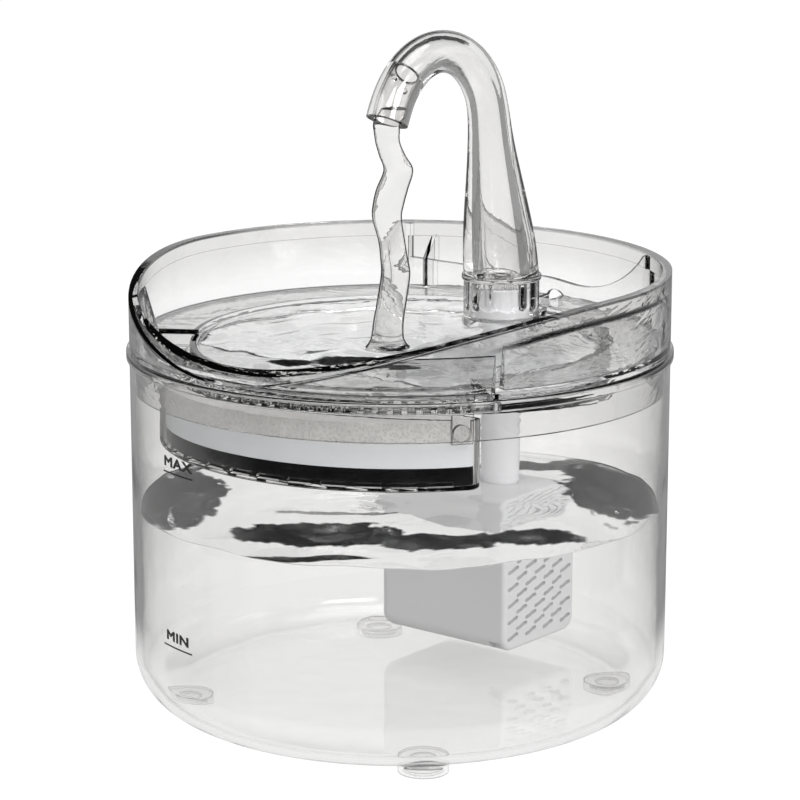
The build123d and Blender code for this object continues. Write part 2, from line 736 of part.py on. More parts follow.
with BuildPart() as sponge_layer:
    with BuildSketch(Plane.XY.offset(sponge_z)):
        add(half_moon(case_wall + layer_gap))
    extrude(amount=sponge_height)
sponge_layer.part.label = "sponge_layer"
export_step(sponge_layer.part, "parts/sponge_layer.step")

# ------------------------------------------------------------------ pump housing
pump_middle = pump_bottom + pump_height / 2
chamber_outside = chamber_radius + chamber_wall
well_outside = well_bore + well_wall
cavity_width = pump_width - 2 * pump_wall
cavity_height = pump_height - 2 * pump_wall
cavity_corner = pump_corner - pump_wall
outlet_radius = riser_bore - outlet_gap

pump_far_side = pump_y + pump_width / 2
potting_y = pump_far_side - potting_recess

with BuildPart() as motor_space:
    with BuildSketch(Plane.XZ.offset(-pump_far_side)):
        with Locations(((pump_back + pump_wall + cavity_front) / 2, pump_middle)):
            RectangleRounded(cavity_front - pump_back - pump_wall, cavity_height, cavity_corner)
    extrude(amount=pump_width - pump_wall)

with BuildPart() as pump_housing:
    with BuildSketch(Plane.YZ.offset(pump_back)):
        with Locations((pump_y, pump_middle)):
            RectangleRounded(pump_width, pump_height, pump_corner)
    extrude(amount=pump_seam - pump_back)
    fillet(pump_housing.faces().sort_by(Axis.X)[0].edges(), rear_round)
    add(motor_space.part, mode=Mode.SUBTRACT)
    with BuildSketch(Plane.YZ.offset(chamber_back)):
        with Locations((pump_y, pump_middle)):
            RectangleRounded(cavity_width, cavity_height, cavity_corner)
    extrude(amount=pump_seam - chamber_back, mode=Mode.SUBTRACT)
    with BuildSketch(Plane.YZ.offset(chamber_back - pump_wall / 2)):
        with Locations((pump_y, rotor_z)):
            Circle(chamber_outside)
    extrude(amount=chamber_front - chamber_back + pump_wall / 2)
    with BuildSketch(Plane.XY.offset(rotor_z)):
        with Locations((0, spout_y)):
            Circle(riser_radius)
    extrude(amount=outlet_z - rotor_z)
    with BuildSketch(Plane.XY.offset(outlet_z)):
        with Locations((0, spout_y)):
            Circle(outlet_radius)
    extrude(amount=outlet_length)
    with BuildSketch(Plane.YZ.offset(well_end - well_cap)):
        with Locations((pump_y, rotor_z)):
            Circle(well_outside)
    extrude(amount=chamber_back - pump_wall / 2 - well_end + well_cap)
    with BuildSketch(Plane.YZ.offset(chamber_back)):
        with Locations((pump_y, rotor_z)):
            Circle(chamber_radius)
    extrude(amount=chamber_front - chamber_back, mode=Mode.SUBTRACT)
    with BuildSketch(Plane.YZ.offset(well_end)):
        with Locations((pump_y, rotor_z)):
            Circle(well_bore)
    extrude(amount=chamber_back - well_end, mode=Mode.SUBTRACT)
    with BuildSketch(Plane.XY.offset(rotor_z)):
        with Locations((0, spout_y)):
            Circle(outlet_bore)
    extrude(amount=outlet_z + outlet_length - rotor_z, mode=Mode.SUBTRACT)
pump_housing.part.label = "pump_housing"
export_step(pump_housing.part, "parts/pump_housing.step")

# ------------------------------------------------------------------ motor inside the housing
yoke_z = core_bottom + yoke_height / 2

with BuildPart() as stator_core:
    with BuildSketch(Plane.YZ.offset(core_centre)):
        with Locations((pump_y, core_bottom)):
            Rectangle(core_width, core_top - core_bottom, align=(Align.CENTER, Align.MIN))
        with Locations((pump_y, rotor_z)):
            Circle(well_outside + core_gap, mode=Mode.SUBTRACT)
            Rectangle(2 * well_bore, everywhere, align=(Align.CENTER, Align.MIN), mode=Mode.SUBTRACT)
        with Locations((pump_y, core_bottom + yoke_height)):
            Rectangle(
                coil_width + 2 * core_gap,
                rotor_z - core_bottom - yoke_height - well_bore,
                align=(Align.CENTER, Align.MIN),
                mode=Mode.SUBTRACT,
            )
    extrude(amount=core_depth / 2, both=True)
stator_core.part.label = "stator_core"
export_step(stator_core.part, "parts/stator_core.step")

with BuildPart() as pump_coil:
    with BuildSketch(Plane.XZ.offset(-pump_y)):
        with Locations((core_centre, yoke_z)):
            RectangleRounded(core_depth + 2 * coil_build, yoke_height + 2 * coil_build, coil_build)
            Rectangle(core_depth, yoke_height, mode=Mode.SUBTRACT)
    extrude(amount=coil_width / 2, both=True)
pump_coil.part.label = "pump_coil"
export_step(pump_coil.part, "parts/pump_coil.step")

with BuildPart() as potting:
    add(motor_space.part)
    with BuildSketch(Plane.XZ.offset(-potting_y)):
        Rectangle(everywhere, everywhere)
    extrude(amount=-potting_recess, mode=Mode.SUBTRACT)
    with BuildSketch(Plane.YZ.offset(well_end - well_cap)):
        with Locations((pump_y, rotor_z)):
            Circle(well_outside + bush_fit)
    extrude(amount=cavity_front - well_end + well_cap, mode=Mode.SUBTRACT)
    add(stator_core.part, mode=Mode.SUBTRACT)
    add(pump_coil.part, mode=Mode.SUBTRACT)
potting.part.label = "potting"
export_step(potting.part, "parts/potting.step")

# ------------------------------------------------------------------ cord gland
with BuildPart() as cord_gland:
    with BuildSketch(Plane.YZ.offset(gland_x)):
        with Locations((potting_y, gland_z)):
            Polygon(
                (0, 0),
                (0, gland_radius),
                (gland_bore, gland_radius),
                (gland_bore, gland_radius - gland_step),
                (gland_length, gland_bore + gland_lip),
                (gland_length, gland_bore),
                (gland_bore, gland_bore),
                (gland_bore, 0),
                align=None,
            )
    revolve(axis=Axis((gland_x, 0, gland_z), (0, 1, 0)))
cord_gland.part.label = "cord_gland"
export_step(cord_gland.part, "parts/cord_gland.step")

# ------------------------------------------------------------------ volute cover, bushes and shaft
volute_back = chamber_front - volute_thickness
pocket_end = volute_back + bush_pocket

with BuildPart() as volute_cover:
    with BuildSketch(Plane.YZ.offset(volute_back)):
        with Locations((pump_y, rotor_z)):
            Circle(chamber_radius - volute_gap)
            Circle(volute_eye, mode=Mode.SUBTRACT)
            with PolarLocations(0, volute_spokes):
                Rectangle(volute_eye + volute_spoke, volute_spoke, align=(Align.MIN, Align.CENTER))
    extrude(amount=volute_thickness)
    with BuildSketch(Plane.YZ.offset(volute_back)):
        with Locations((pump_y, rotor_z)):
            Circle(volute_hub)
    extrude(amount=volute_hub_length)
    with BuildSketch(Plane.YZ.offset(volute_back)):
        with Locations((pump_y, rotor_z)):
            Circle(bush_radius)
    extrude(amount=bush_pocket, mode=Mode.SUBTRACT)
volute_cover.part.label = "volute_cover"
export_step(volute_cover.part, "parts/volute_cover.step")

with BuildPart() as front_bush:
    with BuildSketch(Plane.YZ.offset(pocket_end)):
        with Locations((pump_y, rotor_z)):
            Circle(bush_radius - bush_fit)
            Circle(shaft_radius + bush_fit, mode=Mode.SUBTRACT)
    extrude(amount=-bush_length)
front_bush.part.label = "front_bush"
export_step(front_bush.part, "parts/front_bush.step")

with BuildPart() as rear_bush:
    with BuildSketch(Plane.YZ.offset(well_end)):
        with Locations((pump_y, rotor_z)):
            Circle(well_bore - bush_fit)
            Circle(shaft_radius + bush_fit, mode=Mode.SUBTRACT)
    extrude(amount=bush_length)
rear_bush.part.label = "rear_bush"
export_step(rear_bush.part, "parts/rear_bush.step")

with BuildPart() as rotor_shaft:
    with BuildSketch(Plane.YZ.offset(well_end)):
        with Locations((pump_y, rotor_z)):
            Circle(shaft_radius)
    extrude(amount=pocket_end - well_end)
rotor_shaft.part.label = "rotor_shaft"
export_step(rotor_shaft.part, "parts/rotor_shaft.step")

# ------------------------------------------------------------------ rotor: magnet and impeller
magnet_front = well_end + bush_length + core_gap + magnet_length

with BuildPart() as rotor_magnet:
    with BuildSketch(Plane.YZ.offset(magnet_front - magnet_length)):
        with Locations((pump_y, rotor_z)):
            Circle(magnet_radius)
            Circle(shaft_radius + shaft_fit, mode=Mode.SUBTRACT)
    extrude(amount=magnet_length)
rotor_magnet.part.label = "rotor_magnet"
export_step(rotor_magnet.part, "parts/rotor_magnet.step")

with BuildSketch() as blade:
    with BuildLine():
        RadiusArc((hub_radius * 0.8, 0), (impeller_radius, 0), blade_sweep)
    trace(line_width=blade_thickness)

with BuildPart() as impeller:
    with BuildSketch(Plane.YZ.offset(impeller_back)):
        with Locations((pump_y, rotor_z)):
            Circle(impeller_radius)
    extrude(amount=blade_thickness)
    with BuildSketch(Plane.YZ.offset(impeller_back)):
        with Locations((pump_y, rotor_z)):
            with PolarLocations(0, blade_count):
                add(blade.sketch)
            Circle(impeller_radius, mode=Mode.INTERSECT)
            Circle(hub_radius)
    extrude(amount=impeller_width)
    with BuildSketch(Plane.YZ.offset(magnet_front)):
        with Locations((pump_y, rotor_z)):
            Circle(hub_radius)
    extrude(amount=impeller_back + blade_thickness / 2 - magnet_front)
    with BuildSketch(Plane.YZ.offset(magnet_front)):
        with Locations((pump_y, rotor_z)):
            Circle(shaft_radius + shaft_fit)
    extrude(amount=everywhere, mode=Mode.SUBTRACT)
impeller.part.label = "impeller"
export_step(impeller.part, "parts/impeller.step")

# ------------------------------------------------------------------ intake cover and its sponge
cover_inside = pump_front - cover_wall
slot_length, slot_width = grille_slot
slot_run = (slot_length - slot_width) / 2

with BuildSketch() as wave_slot:
    with BuildLine() as wave:
        Spline(
            (-slot_run, -grille_wave),
            (0, 0),
            (slot_run, grille_wave),
            tangents=((1, 0), (1, 0)),
        )
    trace(wave.line, slot_width)
    with Locations((-slot_run, -grille_wave), (slot_run, grille_wave)):
        Circle(slot_width / 2)

with BuildPart() as intake_cover:
    with BuildSketch(Plane.YZ.offset(pump_seam)):
        with Locations((pump_y, pump_middle)):
            RectangleRounded(pump_width, pump_height, pump_corner)
    extrude(amount=pump_front - pump_seam)
    fillet(intake_cover.faces().sort_by(Axis.X)[-1].edges(), cover_round)
    with BuildSketch(Plane.YZ.offset(pump_seam)):
        with Locations((pump_y, pump_middle)):
            RectangleRounded(pump_width - 2 * cover_wall, pump_height - 2 * cover_wall, pump_corner - cover_wall)
    extrude(amount=cover_inside - pump_seam, mode=Mode.SUBTRACT)
    with BuildSketch(Plane.XY.offset(pump_top)):
        with Locations((0, spout_y)):
            Circle(riser_radius + cover_gap)
            Rectangle(everywhere, 2 * (riser_radius + cover_gap), align=(Align.MAX, Align.CENTER))
    extrude(amount=-2 * cover_wall, mode=Mode.SUBTRACT)
    with BuildSketch(Plane.YZ.offset(pump_front)):
        with Locations((pump_y, pump_middle)):
            with GridLocations(*grille_pitch, *grille_counts):
                add(wave_slot.sketch)
            with GridLocations(*grille_pitch, grille_counts[0] - 1, grille_counts[1] - 1):
                add(wave_slot.sketch)
    extrude(amount=-cover_wall, mode=Mode.SUBTRACT)
    with BuildSketch(Plane.XZ.offset(-(pump_y - pump_width / 2))):
        with Locations((cover_inside - tab_notch[0] / 2, pump_bottom)):
            Rectangle(tab_notch[0], 2 * tab_notch[1])
    extrude(amount=-2 * cover_wall, mode=Mode.SUBTRACT)
intake_cover.part.label = "intake_cover"
export_step(intake_cover.part, "parts/intake_cover.step")

with BuildPart() as intake_sponge:
    with BuildSketch(Plane.YZ.offset(cover_inside)):
        with Locations((pump_y, pump_middle)):
            RectangleRounded(
                pump_width - 2 * (cover_wall + cover_gap),
                pump_height - 2 * (cover_wall + cover_gap),
                pump_corner - cover_wall,
            )
    extrude(amount=-intake_sponge_depth)
intake_sponge.part.label = "intake_sponge"
export_step(intake_sponge.part, "parts/intake_sponge.step")
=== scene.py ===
import math

import bmesh
import bpy
from bpy.props import FloatProperty, FloatVectorProperty, IntProperty, PointerProperty, StringProperty
from mathutils import Matrix, Vector, noise


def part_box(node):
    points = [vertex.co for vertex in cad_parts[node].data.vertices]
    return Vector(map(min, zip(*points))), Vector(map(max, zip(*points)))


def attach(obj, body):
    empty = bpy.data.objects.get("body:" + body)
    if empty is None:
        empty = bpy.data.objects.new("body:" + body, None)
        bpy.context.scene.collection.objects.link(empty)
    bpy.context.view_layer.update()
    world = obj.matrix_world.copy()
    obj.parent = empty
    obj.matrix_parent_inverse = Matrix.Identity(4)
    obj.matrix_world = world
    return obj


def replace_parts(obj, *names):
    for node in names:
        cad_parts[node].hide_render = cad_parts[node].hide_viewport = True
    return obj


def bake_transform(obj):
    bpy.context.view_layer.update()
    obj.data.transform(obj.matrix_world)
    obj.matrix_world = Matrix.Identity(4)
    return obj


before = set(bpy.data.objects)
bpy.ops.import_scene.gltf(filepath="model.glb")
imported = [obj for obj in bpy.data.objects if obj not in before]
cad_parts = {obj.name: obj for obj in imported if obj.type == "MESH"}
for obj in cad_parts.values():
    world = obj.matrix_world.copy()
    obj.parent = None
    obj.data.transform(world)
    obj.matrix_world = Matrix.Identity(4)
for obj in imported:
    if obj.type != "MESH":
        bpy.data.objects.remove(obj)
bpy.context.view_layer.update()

bl_info = {
    "name": "Pet Water Fountain",
    "version": (1, 0, 0),
    "blender": (4, 5, 0),
    "location": "View3D > Sidebar > Fountain",
    "description": "Dresses the packed pet water fountain: clear mouldings, filter, pump, water and level marks",
    "category": "Object",
}

MM = 0.001
TURN = 2 * math.pi
ACROSS = math.radians(39)  # direction that the swells of both waters lie in, and that the stream swings in

# places that the solids give, in metres
TANK_LOW, TANK_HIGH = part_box("tank")
TANK_BEAD_RADIUS = TANK_HIGH.x
TANK_RIM = TANK_HIGH.z
TANK_BOTTOM = TANK_LOW.z
TRAY_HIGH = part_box("tray")[1]
TANK_RADIUS = TRAY_HIGH.x  # the tray's wall stands over the tank's
RISER_LOW, RISER_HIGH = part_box("riser_pipe")
RISER_Y = (RISER_LOW.y + RISER_HIGH.y) / 2
CORE_LOW, CORE_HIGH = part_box("stator_core")
COIL_LOW, COIL_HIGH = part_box("pump_coil")
SHAFT_LOW, SHAFT_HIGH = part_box("rotor_shaft")
ROTOR_Y = (SHAFT_LOW.y + SHAFT_HIGH.y) / 2
ROTOR_Z = (SHAFT_LOW.z + SHAFT_HIGH.z) / 2

# sizes of the tank, the tray and the waters, in metres, that their materials or more than one piece go by
TANK_WALL = 2.5 * MM
TANK_FLOOR = 3 * MM
TANK_CORNER = 18 * MM
RIM_RUN = 0.100  # half length and height of the ellipse that the tray's rim falls along
RIM_DROP = 0.04064
TRAY_DECK = (0.1312, 0.134)  # heights between which the deck gives way to what stands on it
TRAY_WALL = (0.0885, 0.0890)  # radii between which the tray's outer wall begins
TRAY_GATE = (0.995, -0.105, 0.0)  # direction from the axis to the gate that the tray was filled by
GATE_NEAR = (0.079, 0.087)  # distances towards the gate between which its waves begin
PEDESTAL_EDGE = (0.0142, 0.0148)  # radii between which the pedestal ends
PEDESTAL_FLUTES = 14.0
SIDE_SWELLS = (0.054, 0.062)  # distances along the swells' lie between which those at the sides begin
SURFACE_REACH = 3 * MM  # how far below its level a water's surface may dip


# ---- sizes and colours that a user may change
def setting(kind, **fixed):
    """Maker of one kind of setting, each with a name, a description and a default."""
    def made(name, description, default):
        return kind(name=name, description=description, default=default, **fixed)
    return made


length = setting(FloatProperty, min=0, unit="LENGTH", precision=4)
share = setting(FloatProperty, min=0, max=1, subtype="FACTOR")
number = setting(FloatProperty, min=0)
turning = setting(FloatProperty, subtype="ANGLE")
count = setting(IntProperty, min=1)
wording = setting(StringProperty)
colour = setting(FloatVectorProperty, size=3, min=0, max=1, subtype="COLOR")


class FountainStageSettings(bpy.types.PropertyGroup):
    camera_distance: length("Camera distance", "Distance of the camera from the fountain's axis", 1.0)
    camera_height: length("Camera height", "Height of the camera above the floor", 0.343)
    camera_azimuth: turning("Camera azimuth", "Turn of the camera from the low front", math.radians(39))
    camera_tilt: turning("Camera tilt", "How far the camera looks down", math.radians(13.23))
    camera_lens: number("Focal length", "Focal length of the camera, in millimetres", 134.19)
    floor_size: length("Floor size", "Side of the square floor", 12.0)
    mirror_front: share("Front in mirrors", "Brightness of the floor in front, as reflections show it", 0.02)
    mirror_back: share("Back in mirrors", "Brightness of the floor behind, as reflections show it", 0.33)
    key_power: number("Key light", "Power of the lamp at the right, in watts", 19.0)
    fill_power: number("Fill light", "Power of the lamp at the left, in watts", 5.0)
    top_power: number("Top light", "Power of the overhead lamp, in watts", 8.0)
    ambient: share("Ambient light", "Brightness of the world for matt surfaces", 0.42)


class FountainClearSettings(bpy.types.PropertyGroup):
    tint: colour("Clear tint", "Colour of the clear mouldings seen square on", (0.950, 0.947, 0.942))
    # painted shade: a darker colour given to the upper part of the tray's wall
    tray_shade_tint: colour("Tray tint", "Colour of the clear tray seen square on", (0.80, 0.795, 0.79))
    # painted shade: the colour the clear mouldings are painted where they are seen edge on, to draw dark outlines
    edge_shade: colour("Edge tint", "Colour of the clear mouldings seen edge on", (0.16, 0.16, 0.165))
    edge_start: share("Edge start", "How far round a surface turns before its edge tint begins", 0.72)
    refraction: number("Refraction", "Index of refraction of the clear plastic", 1.49)
    tank_segments: count("Tank segments", "Facets round the tank", 320)


class FountainMarksSettings(bpy.types.PropertyGroup):
    letter_height: length("Letter height", "Height of the capitals of the level marks", 3.1 * MM)
    letter_stretch: number("Letter stretch", "Width of the letters, 1 for the font as it is", 1.6)
    line_length: length("Line length", "Length of a level line", 16.8 * MM)
    line_width: length("Line width", "Width of a level line", 0.55 * MM)
    upper_level: length("Upper level", "Height of the upper level line", 96.0 * MM)
    lower_level: length("Lower level", "Height of the lower level line", 36.1 * MM)
    ink: colour("Ink", "Colour of the printed marks", (0.012, 0.012, 0.012))
    upper_word: wording("Upper word", "Word at the upper level", "MAX")
    lower_word: wording("Lower word", "Word at the lower level", "MIN")


class FountainWaterSettings(bpy.types.PropertyGroup):
    tank_level: length("Tank level", "Height of the water in the tank", 73.0 * MM)
    tank_ripple: length("Tank ripple", "Height of the ripples in the tank", 0.55 * MM)
    pool_level: length("Pool level", "Height of the water in the pool", 128.5 * MM)
    pool_ripple: length("Pool ripple", "Height of the ripples in the pool", 0.6 * MM)
    refraction: number("Refraction", "Index of refraction of water", 1.333)
    wall_gap: length("Wall gap", "Gap between the water and the wall that holds it", 0.25 * MM)


class FountainFilterSettings(bpy.types.PropertyGroup):
    foam: colour("Foam", "Colour of the grey foam", (0.92, 0.92, 0.92))
    wadding: colour("Wadding", "Colour of the wadding", (0.91, 0.94, 0.98))
    carbon: colour("Carbon", "Colour of the carbon mat", (0.012, 0.012, 0.013))


class FountainPumpSettings(bpy.types.PropertyGroup):
    moulding: colour("Pump colour", "Colour of the pump's mouldings", (0.70, 0.70, 0.71))
    grain_depth: length("Grain depth", "Depth of the spark texture on the mouldings", 0.03 * MM)
    sheet_thickness: length("Sheet thickness", "Thickness of one sheet of the core", 0.42 * MM)
    sheet_count: count("Sheet count", "Sheets in the core", 25)
    wire_radius: length("Wire radius", "Radius of the winding's wire", 0.4 * MM)
    wire_turns: count("Wire turns", "Turns in one layer of the winding", 19)


# ---- node trees
def rgba(value):
    """Opaque colour, from a colour or from one grey."""
    return (value, value, value, 1.0) if isinstance(value, float) else (*value[:3], 1.0)


def shaded(base, part):
    """A colour at a part of its brightness."""
    return [part * channel for channel in rgba(base)[:3]]


class Nodes:
    """A node tree, with a short way to add each kind of node that is used often."""

    def __init__(self, tree, owner=None):
        self.tree, self.owner = tree, owner

    def add(self, kind, inputs=None, **settings):
        """Adds a node, sets its settings, and fills or links its inputs. A grey may stand for a colour."""
        made = self.tree.nodes.new(kind)
        for key, value in settings.items():
            setattr(made, key, value)
        for key, value in (inputs or {}).items():
            socket = made.inputs[key]
            if isinstance(value, bpy.types.NodeSocket):
                self.tree.links.new(value, socket)
            else:
                socket.default_value = rgba(value) if socket.type == "RGBA" else value
        return made

    def out(self, kind, inputs=None, output=0, **settings):
        """Adds a node and gives one of its outputs."""
        return self.add(kind, inputs, **settings).outputs[output]

    def place(self):
        return self.out("ShaderNodeTexCoord", output="Object")

    def split(self, vector):
        return self.add("ShaderNodeSeparateXYZ", {0: vector}).outputs

    def facing(self):
        """0 on a surface seen square on, 1 on one seen edge on."""
        return self.out("ShaderNodeLayerWeight", {"Blend": 0.5}, "Facing")

    def math(self, operation, *values):
        return self.out("ShaderNodeMath", dict(enumerate(values)), operation=operation)

    def times(self, product, *values):
        for value in values:
            product = self.math("MULTIPLY", product, value)
        return product

    def vector(self, operation, *values):
        """Vector maths. A dot product and a length are numbers, all else is a vector."""
        output = "Value" if operation in ("DOT_PRODUCT", "LENGTH") else "Vector"
        return self.out("ShaderNodeVectorMath", dict(enumerate(values)), output, operation=operation)

    def across(self, x, y):
        """Distance from the Z axis."""
        return self.vector("LENGTH", self.out("ShaderNodeCombineXYZ", {0: x, 1: y}))

    def fit(self, value, low, high, to_low=0.0, to_high=1.0, kind="LINEAR"):
        """Fits a range of values to another, and keeps to its ends."""
        return self.out("ShaderNodeMapRange", {0: value, 1: low, 2: high, 3: to_low, 4: to_high},
                        interpolation_type=kind)

    def ease(self, value, low, high, to_low=0.0, to_high=1.0):
        """The same with soft ends."""
        return self.fit(value, low, high, to_low, to_high, "SMOOTHSTEP")

    def noise(self, vector, scale, detail, **more):
        inputs = {"Vector": vector, "Scale": scale, "Detail": detail, **more}
        return self.out("ShaderNodeTexNoise", inputs, "Fac")

    def mix(self, factor, first, second):
        """Blend of two colours."""
        return self.out("ShaderNodeMix", {0: factor, 6: first, 7: second}, 2, data_type="RGBA")

    def blend(self, factor, first, second):
        """Blend of two shaders."""
        return self.out("ShaderNodeMixShader", {0: factor, 1: first, 2: second})

    def bump(self, height, strength, distance):
        return self.out("ShaderNodeBump", {"Strength": strength, "Distance": distance, "Height": height})

    def diffuse(self, base):
        return self.out("ShaderNodeBsdfDiffuse", {"Color": base})

    def glow(self, strength):
        return self.out("ShaderNodeEmission", {"Color": 1.0, "Strength": strength})

    def principled(self, base, roughness, **more):
        """more: other sockets by name, with _ for a space."""
        inputs = {"Base Color": base, "Roughness": roughness}
        inputs.update((key.replace("_", " "), value) for key, value in more.items())
        return self.out("ShaderNodeBsdfPrincipled", inputs)

    def passing_light(self, shader, tint):
        """Lets lamps and soft light through a clear piece, so that what is inside it is lit."""
        path = self.add("ShaderNodeLightPath").outputs
        either = self.math("MAXIMUM", path["Is Shadow Ray"], path["Is Diffuse Ray"])
        return self.blend(either, shader, self.out("ShaderNodeBsdfTransparent", {"Color": tint}))

    def group(self, tree, **inputs):
        return self.add("ShaderNodeGroup", inputs, node_tree=tree).outputs

    def close_group(self, **results):
        """Gives a group its outputs."""
        for name in results:
            self.tree.interface.new_socket(name, in_out="OUTPUT", socket_type="NodeSocketFloat")
        self.add("NodeGroupOutput", results)
        return self.tree

    def surface(self, shader, kind="Material"):
        """Ends a material or a world and gives it back."""
        self.add("ShaderNodeOutput" + kind, {"Surface": shader})
        return self.owner


def new_group(name, **defaults):
    """An empty shader group with numbers for inputs, and the sockets that bring them in."""
    tree = bpy.data.node_groups.new(name, "ShaderNodeTree")
    for socket, default in defaults.items():
        tree.interface.new_socket(socket, in_out="INPUT", socket_type="NodeSocketFloat").default_value = default
    return Nodes(tree), tree.nodes.new("NodeGroupInput").outputs


def new_nodes(owner):
    """The emptied node tree of a material or a world."""
    owner.use_nodes = True
    owner.node_tree.nodes.clear()
    return Nodes(owner.node_tree, owner)


def new_material(name):
    return new_nodes(bpy.data.materials.new(name))


# ---- shader groups
def handling_marks_group():
    """Faint smears and a slow waviness, as on a clear moulding that is wiped now and then."""
    t, given = new_group("Handling Marks", Scale=40.0, Low=0.01, High=0.05)
    place = t.place()
    smear = t.noise(place, given["Scale"], 5.0, Roughness=0.6, Distortion=1.4)
    rough = t.fit(t.ease(smear, 0.5, 0.75), 0.0, 1.0, given["Low"], given["High"])
    return t.close_group(Roughness=rough, Wave=t.noise(place, 55.0, 1.0))


def spark_grain_group():
    """Fine pitted grain of a spark-eroded mould."""
    t, given = new_group("Spark Grain", Scale=2200.0, Rough=0.45)
    place = t.place()
    fine = t.noise(place, given["Scale"], 3.0)
    broad = t.noise(place, 45.0, 2.0)
    rough = t.math("ADD", given["Rough"], t.fit(broad, 0.3, 0.7, -0.05, 0.05))
    return t.close_group(Height=fine, Roughness=rough, Tone=t.fit(broad, 0.25, 0.75, 0.97, 1.0))


def fibre_mat_group():
    """Tangled fibres that lie mostly flat."""
    t, given = new_group("Fibre Mat", Scale=700.0, Flatness=3.0)
    flat = t.out("ShaderNodeCombineXYZ", {0: 1.0, 1: 1.0, 2: given["Flatness"]})
    squeezed = t.vector("MULTIPLY", t.place(), flat)
    strands = t.noise(squeezed, given["Scale"], 6.0, Roughness=0.7, Distortion=2.5)
    clumped = t.math("ADD", strands, t.noise(squeezed, 90.0, 3.0))
    return t.close_group(Tone=t.fit(clumped, 0.7, 1.3), Height=strands)


def open_foam_group():
    """Open cells of a reticulated foam."""
    t, given = new_group("Open Foam", Scale=1200.0)
    place = t.place()
    cells = t.out("ShaderNodeTexVoronoi", {"Vector": place, "Scale": given["Scale"]}, "Distance")
    wall = t.ease(cells, 0.1, 0.7)
    mixed = t.times(wall, t.noise(place, 120.0, 3.0))
    return t.close_group(Tone=t.fit(mixed, 0.0, 0.7), Height=wall)


# ---- materials
GROUPS = {}
MATERIALS = {}
# painted shade: greys of the dark lines painted along the edges of a clear moulding, and of those drawn over its
# shine
LINE_SHADE = 0.05  # grey of the lines in the colour of a clear moulding, and of those drawn over it
DRAWN_SHADE = 0.02
# painted shade: grey of the dark lines painted along the tray's rim
RIM_SHADE = 0.03
TRAY_LOW_TINT = (0.958, 0.958, 0.956)  # of the tray but for the upper part of its wall
SOFT_REFRACTION = 1.42  # of the clear soft pieces
WATER_TINT = (0.97, 0.975, 0.98)


def painted_edge_line(t, radius, strength=1.0):
    """Mask of the painted dark line along the edges of a moulding, within a radius of them."""
    rounded = t.out("ShaderNodeBevel", {"Radius": radius}, samples=4)
    plain = t.out("ShaderNodeNewGeometry", output="Normal")
    return t.ease(t.vector("DOT_PRODUCT", rounded, plain), 0.97, 0.85, 0.0, strength)


def clear_shader(t, body, roughness, refraction, normal):
    return t.principled(body, roughness, IOR=refraction, Transmission_Weight=1.0, Normal=normal)


def light_tint(tint):
    """Tint of the light that a clear moulding lets through: half way from its own to white."""
    return [0.5 + channel / 2 for channel in tint]


def clear_body(t, tint, edge_shade, edge_start, line, flank):
    """Colour of a clear moulding, with painted shade: bright seen square on, painted dark where it is seen edge on
    and along its edges.
    """
    facing = t.facing()
    # painted shade: an upright wall is painted darker where it turns away from square on, with upright streaks
    if flank < 1.0:
        streaks = t.noise(t.vector("MULTIPLY", t.place(), (1.0, 1.0, 0.03)), 110.0, 2.0)
        facing = t.math("ADD", facing, t.fit(streaks, 0.3, 0.7, -0.07, 0.07))
        level = t.math("ABSOLUTE", t.split(t.out("ShaderNodeNewGeometry", output="True Normal"))[2])
        turned = t.times(t.fit(level, 0.3, 0.7, 1.0, 0.0), t.ease(facing, 0.15, 0.45))
        tint = t.mix(turned, tint, shaded(tint, flank))
    body = t.mix(t.ease(facing, edge_start, 1.0), tint, edge_shade)
    return t.mix(painted_edge_line(t, line), body, LINE_SHADE) if line else body


def clear_material(name, tint, edge_shade, edge_start, refraction, low=0.0, high=0.03, wave=0.02,
                   line=0.0, drawn=0.0, flank=1.0):
    """Clear moulding. low, high: roughness between smears and on them. line: radius of the painted dark line along
    its edges, a painted shade. drawn: how far that painted line is drawn over the shine too. flank: share of the
    tint that is left half way round an upright wall, painted darker there as shade, which then has upright streaks."""
    t = new_material(name)
    body = clear_body(t, tint, edge_shade, edge_start, line, flank)
    marks = t.group(GROUPS["marks"], Low=low, High=high)
    shader = clear_shader(t, body, marks["Roughness"], refraction, t.bump(marks["Wave"], wave, 4 * MM))
    # painted shade: a near-black line drawn over the shine along the edges
    if drawn:
        shader = t.blend(painted_edge_line(t, line, drawn), shader, t.diffuse(DRAWN_SHADE))
    return t.surface(t.passing_light(shader, light_tint(tint)))


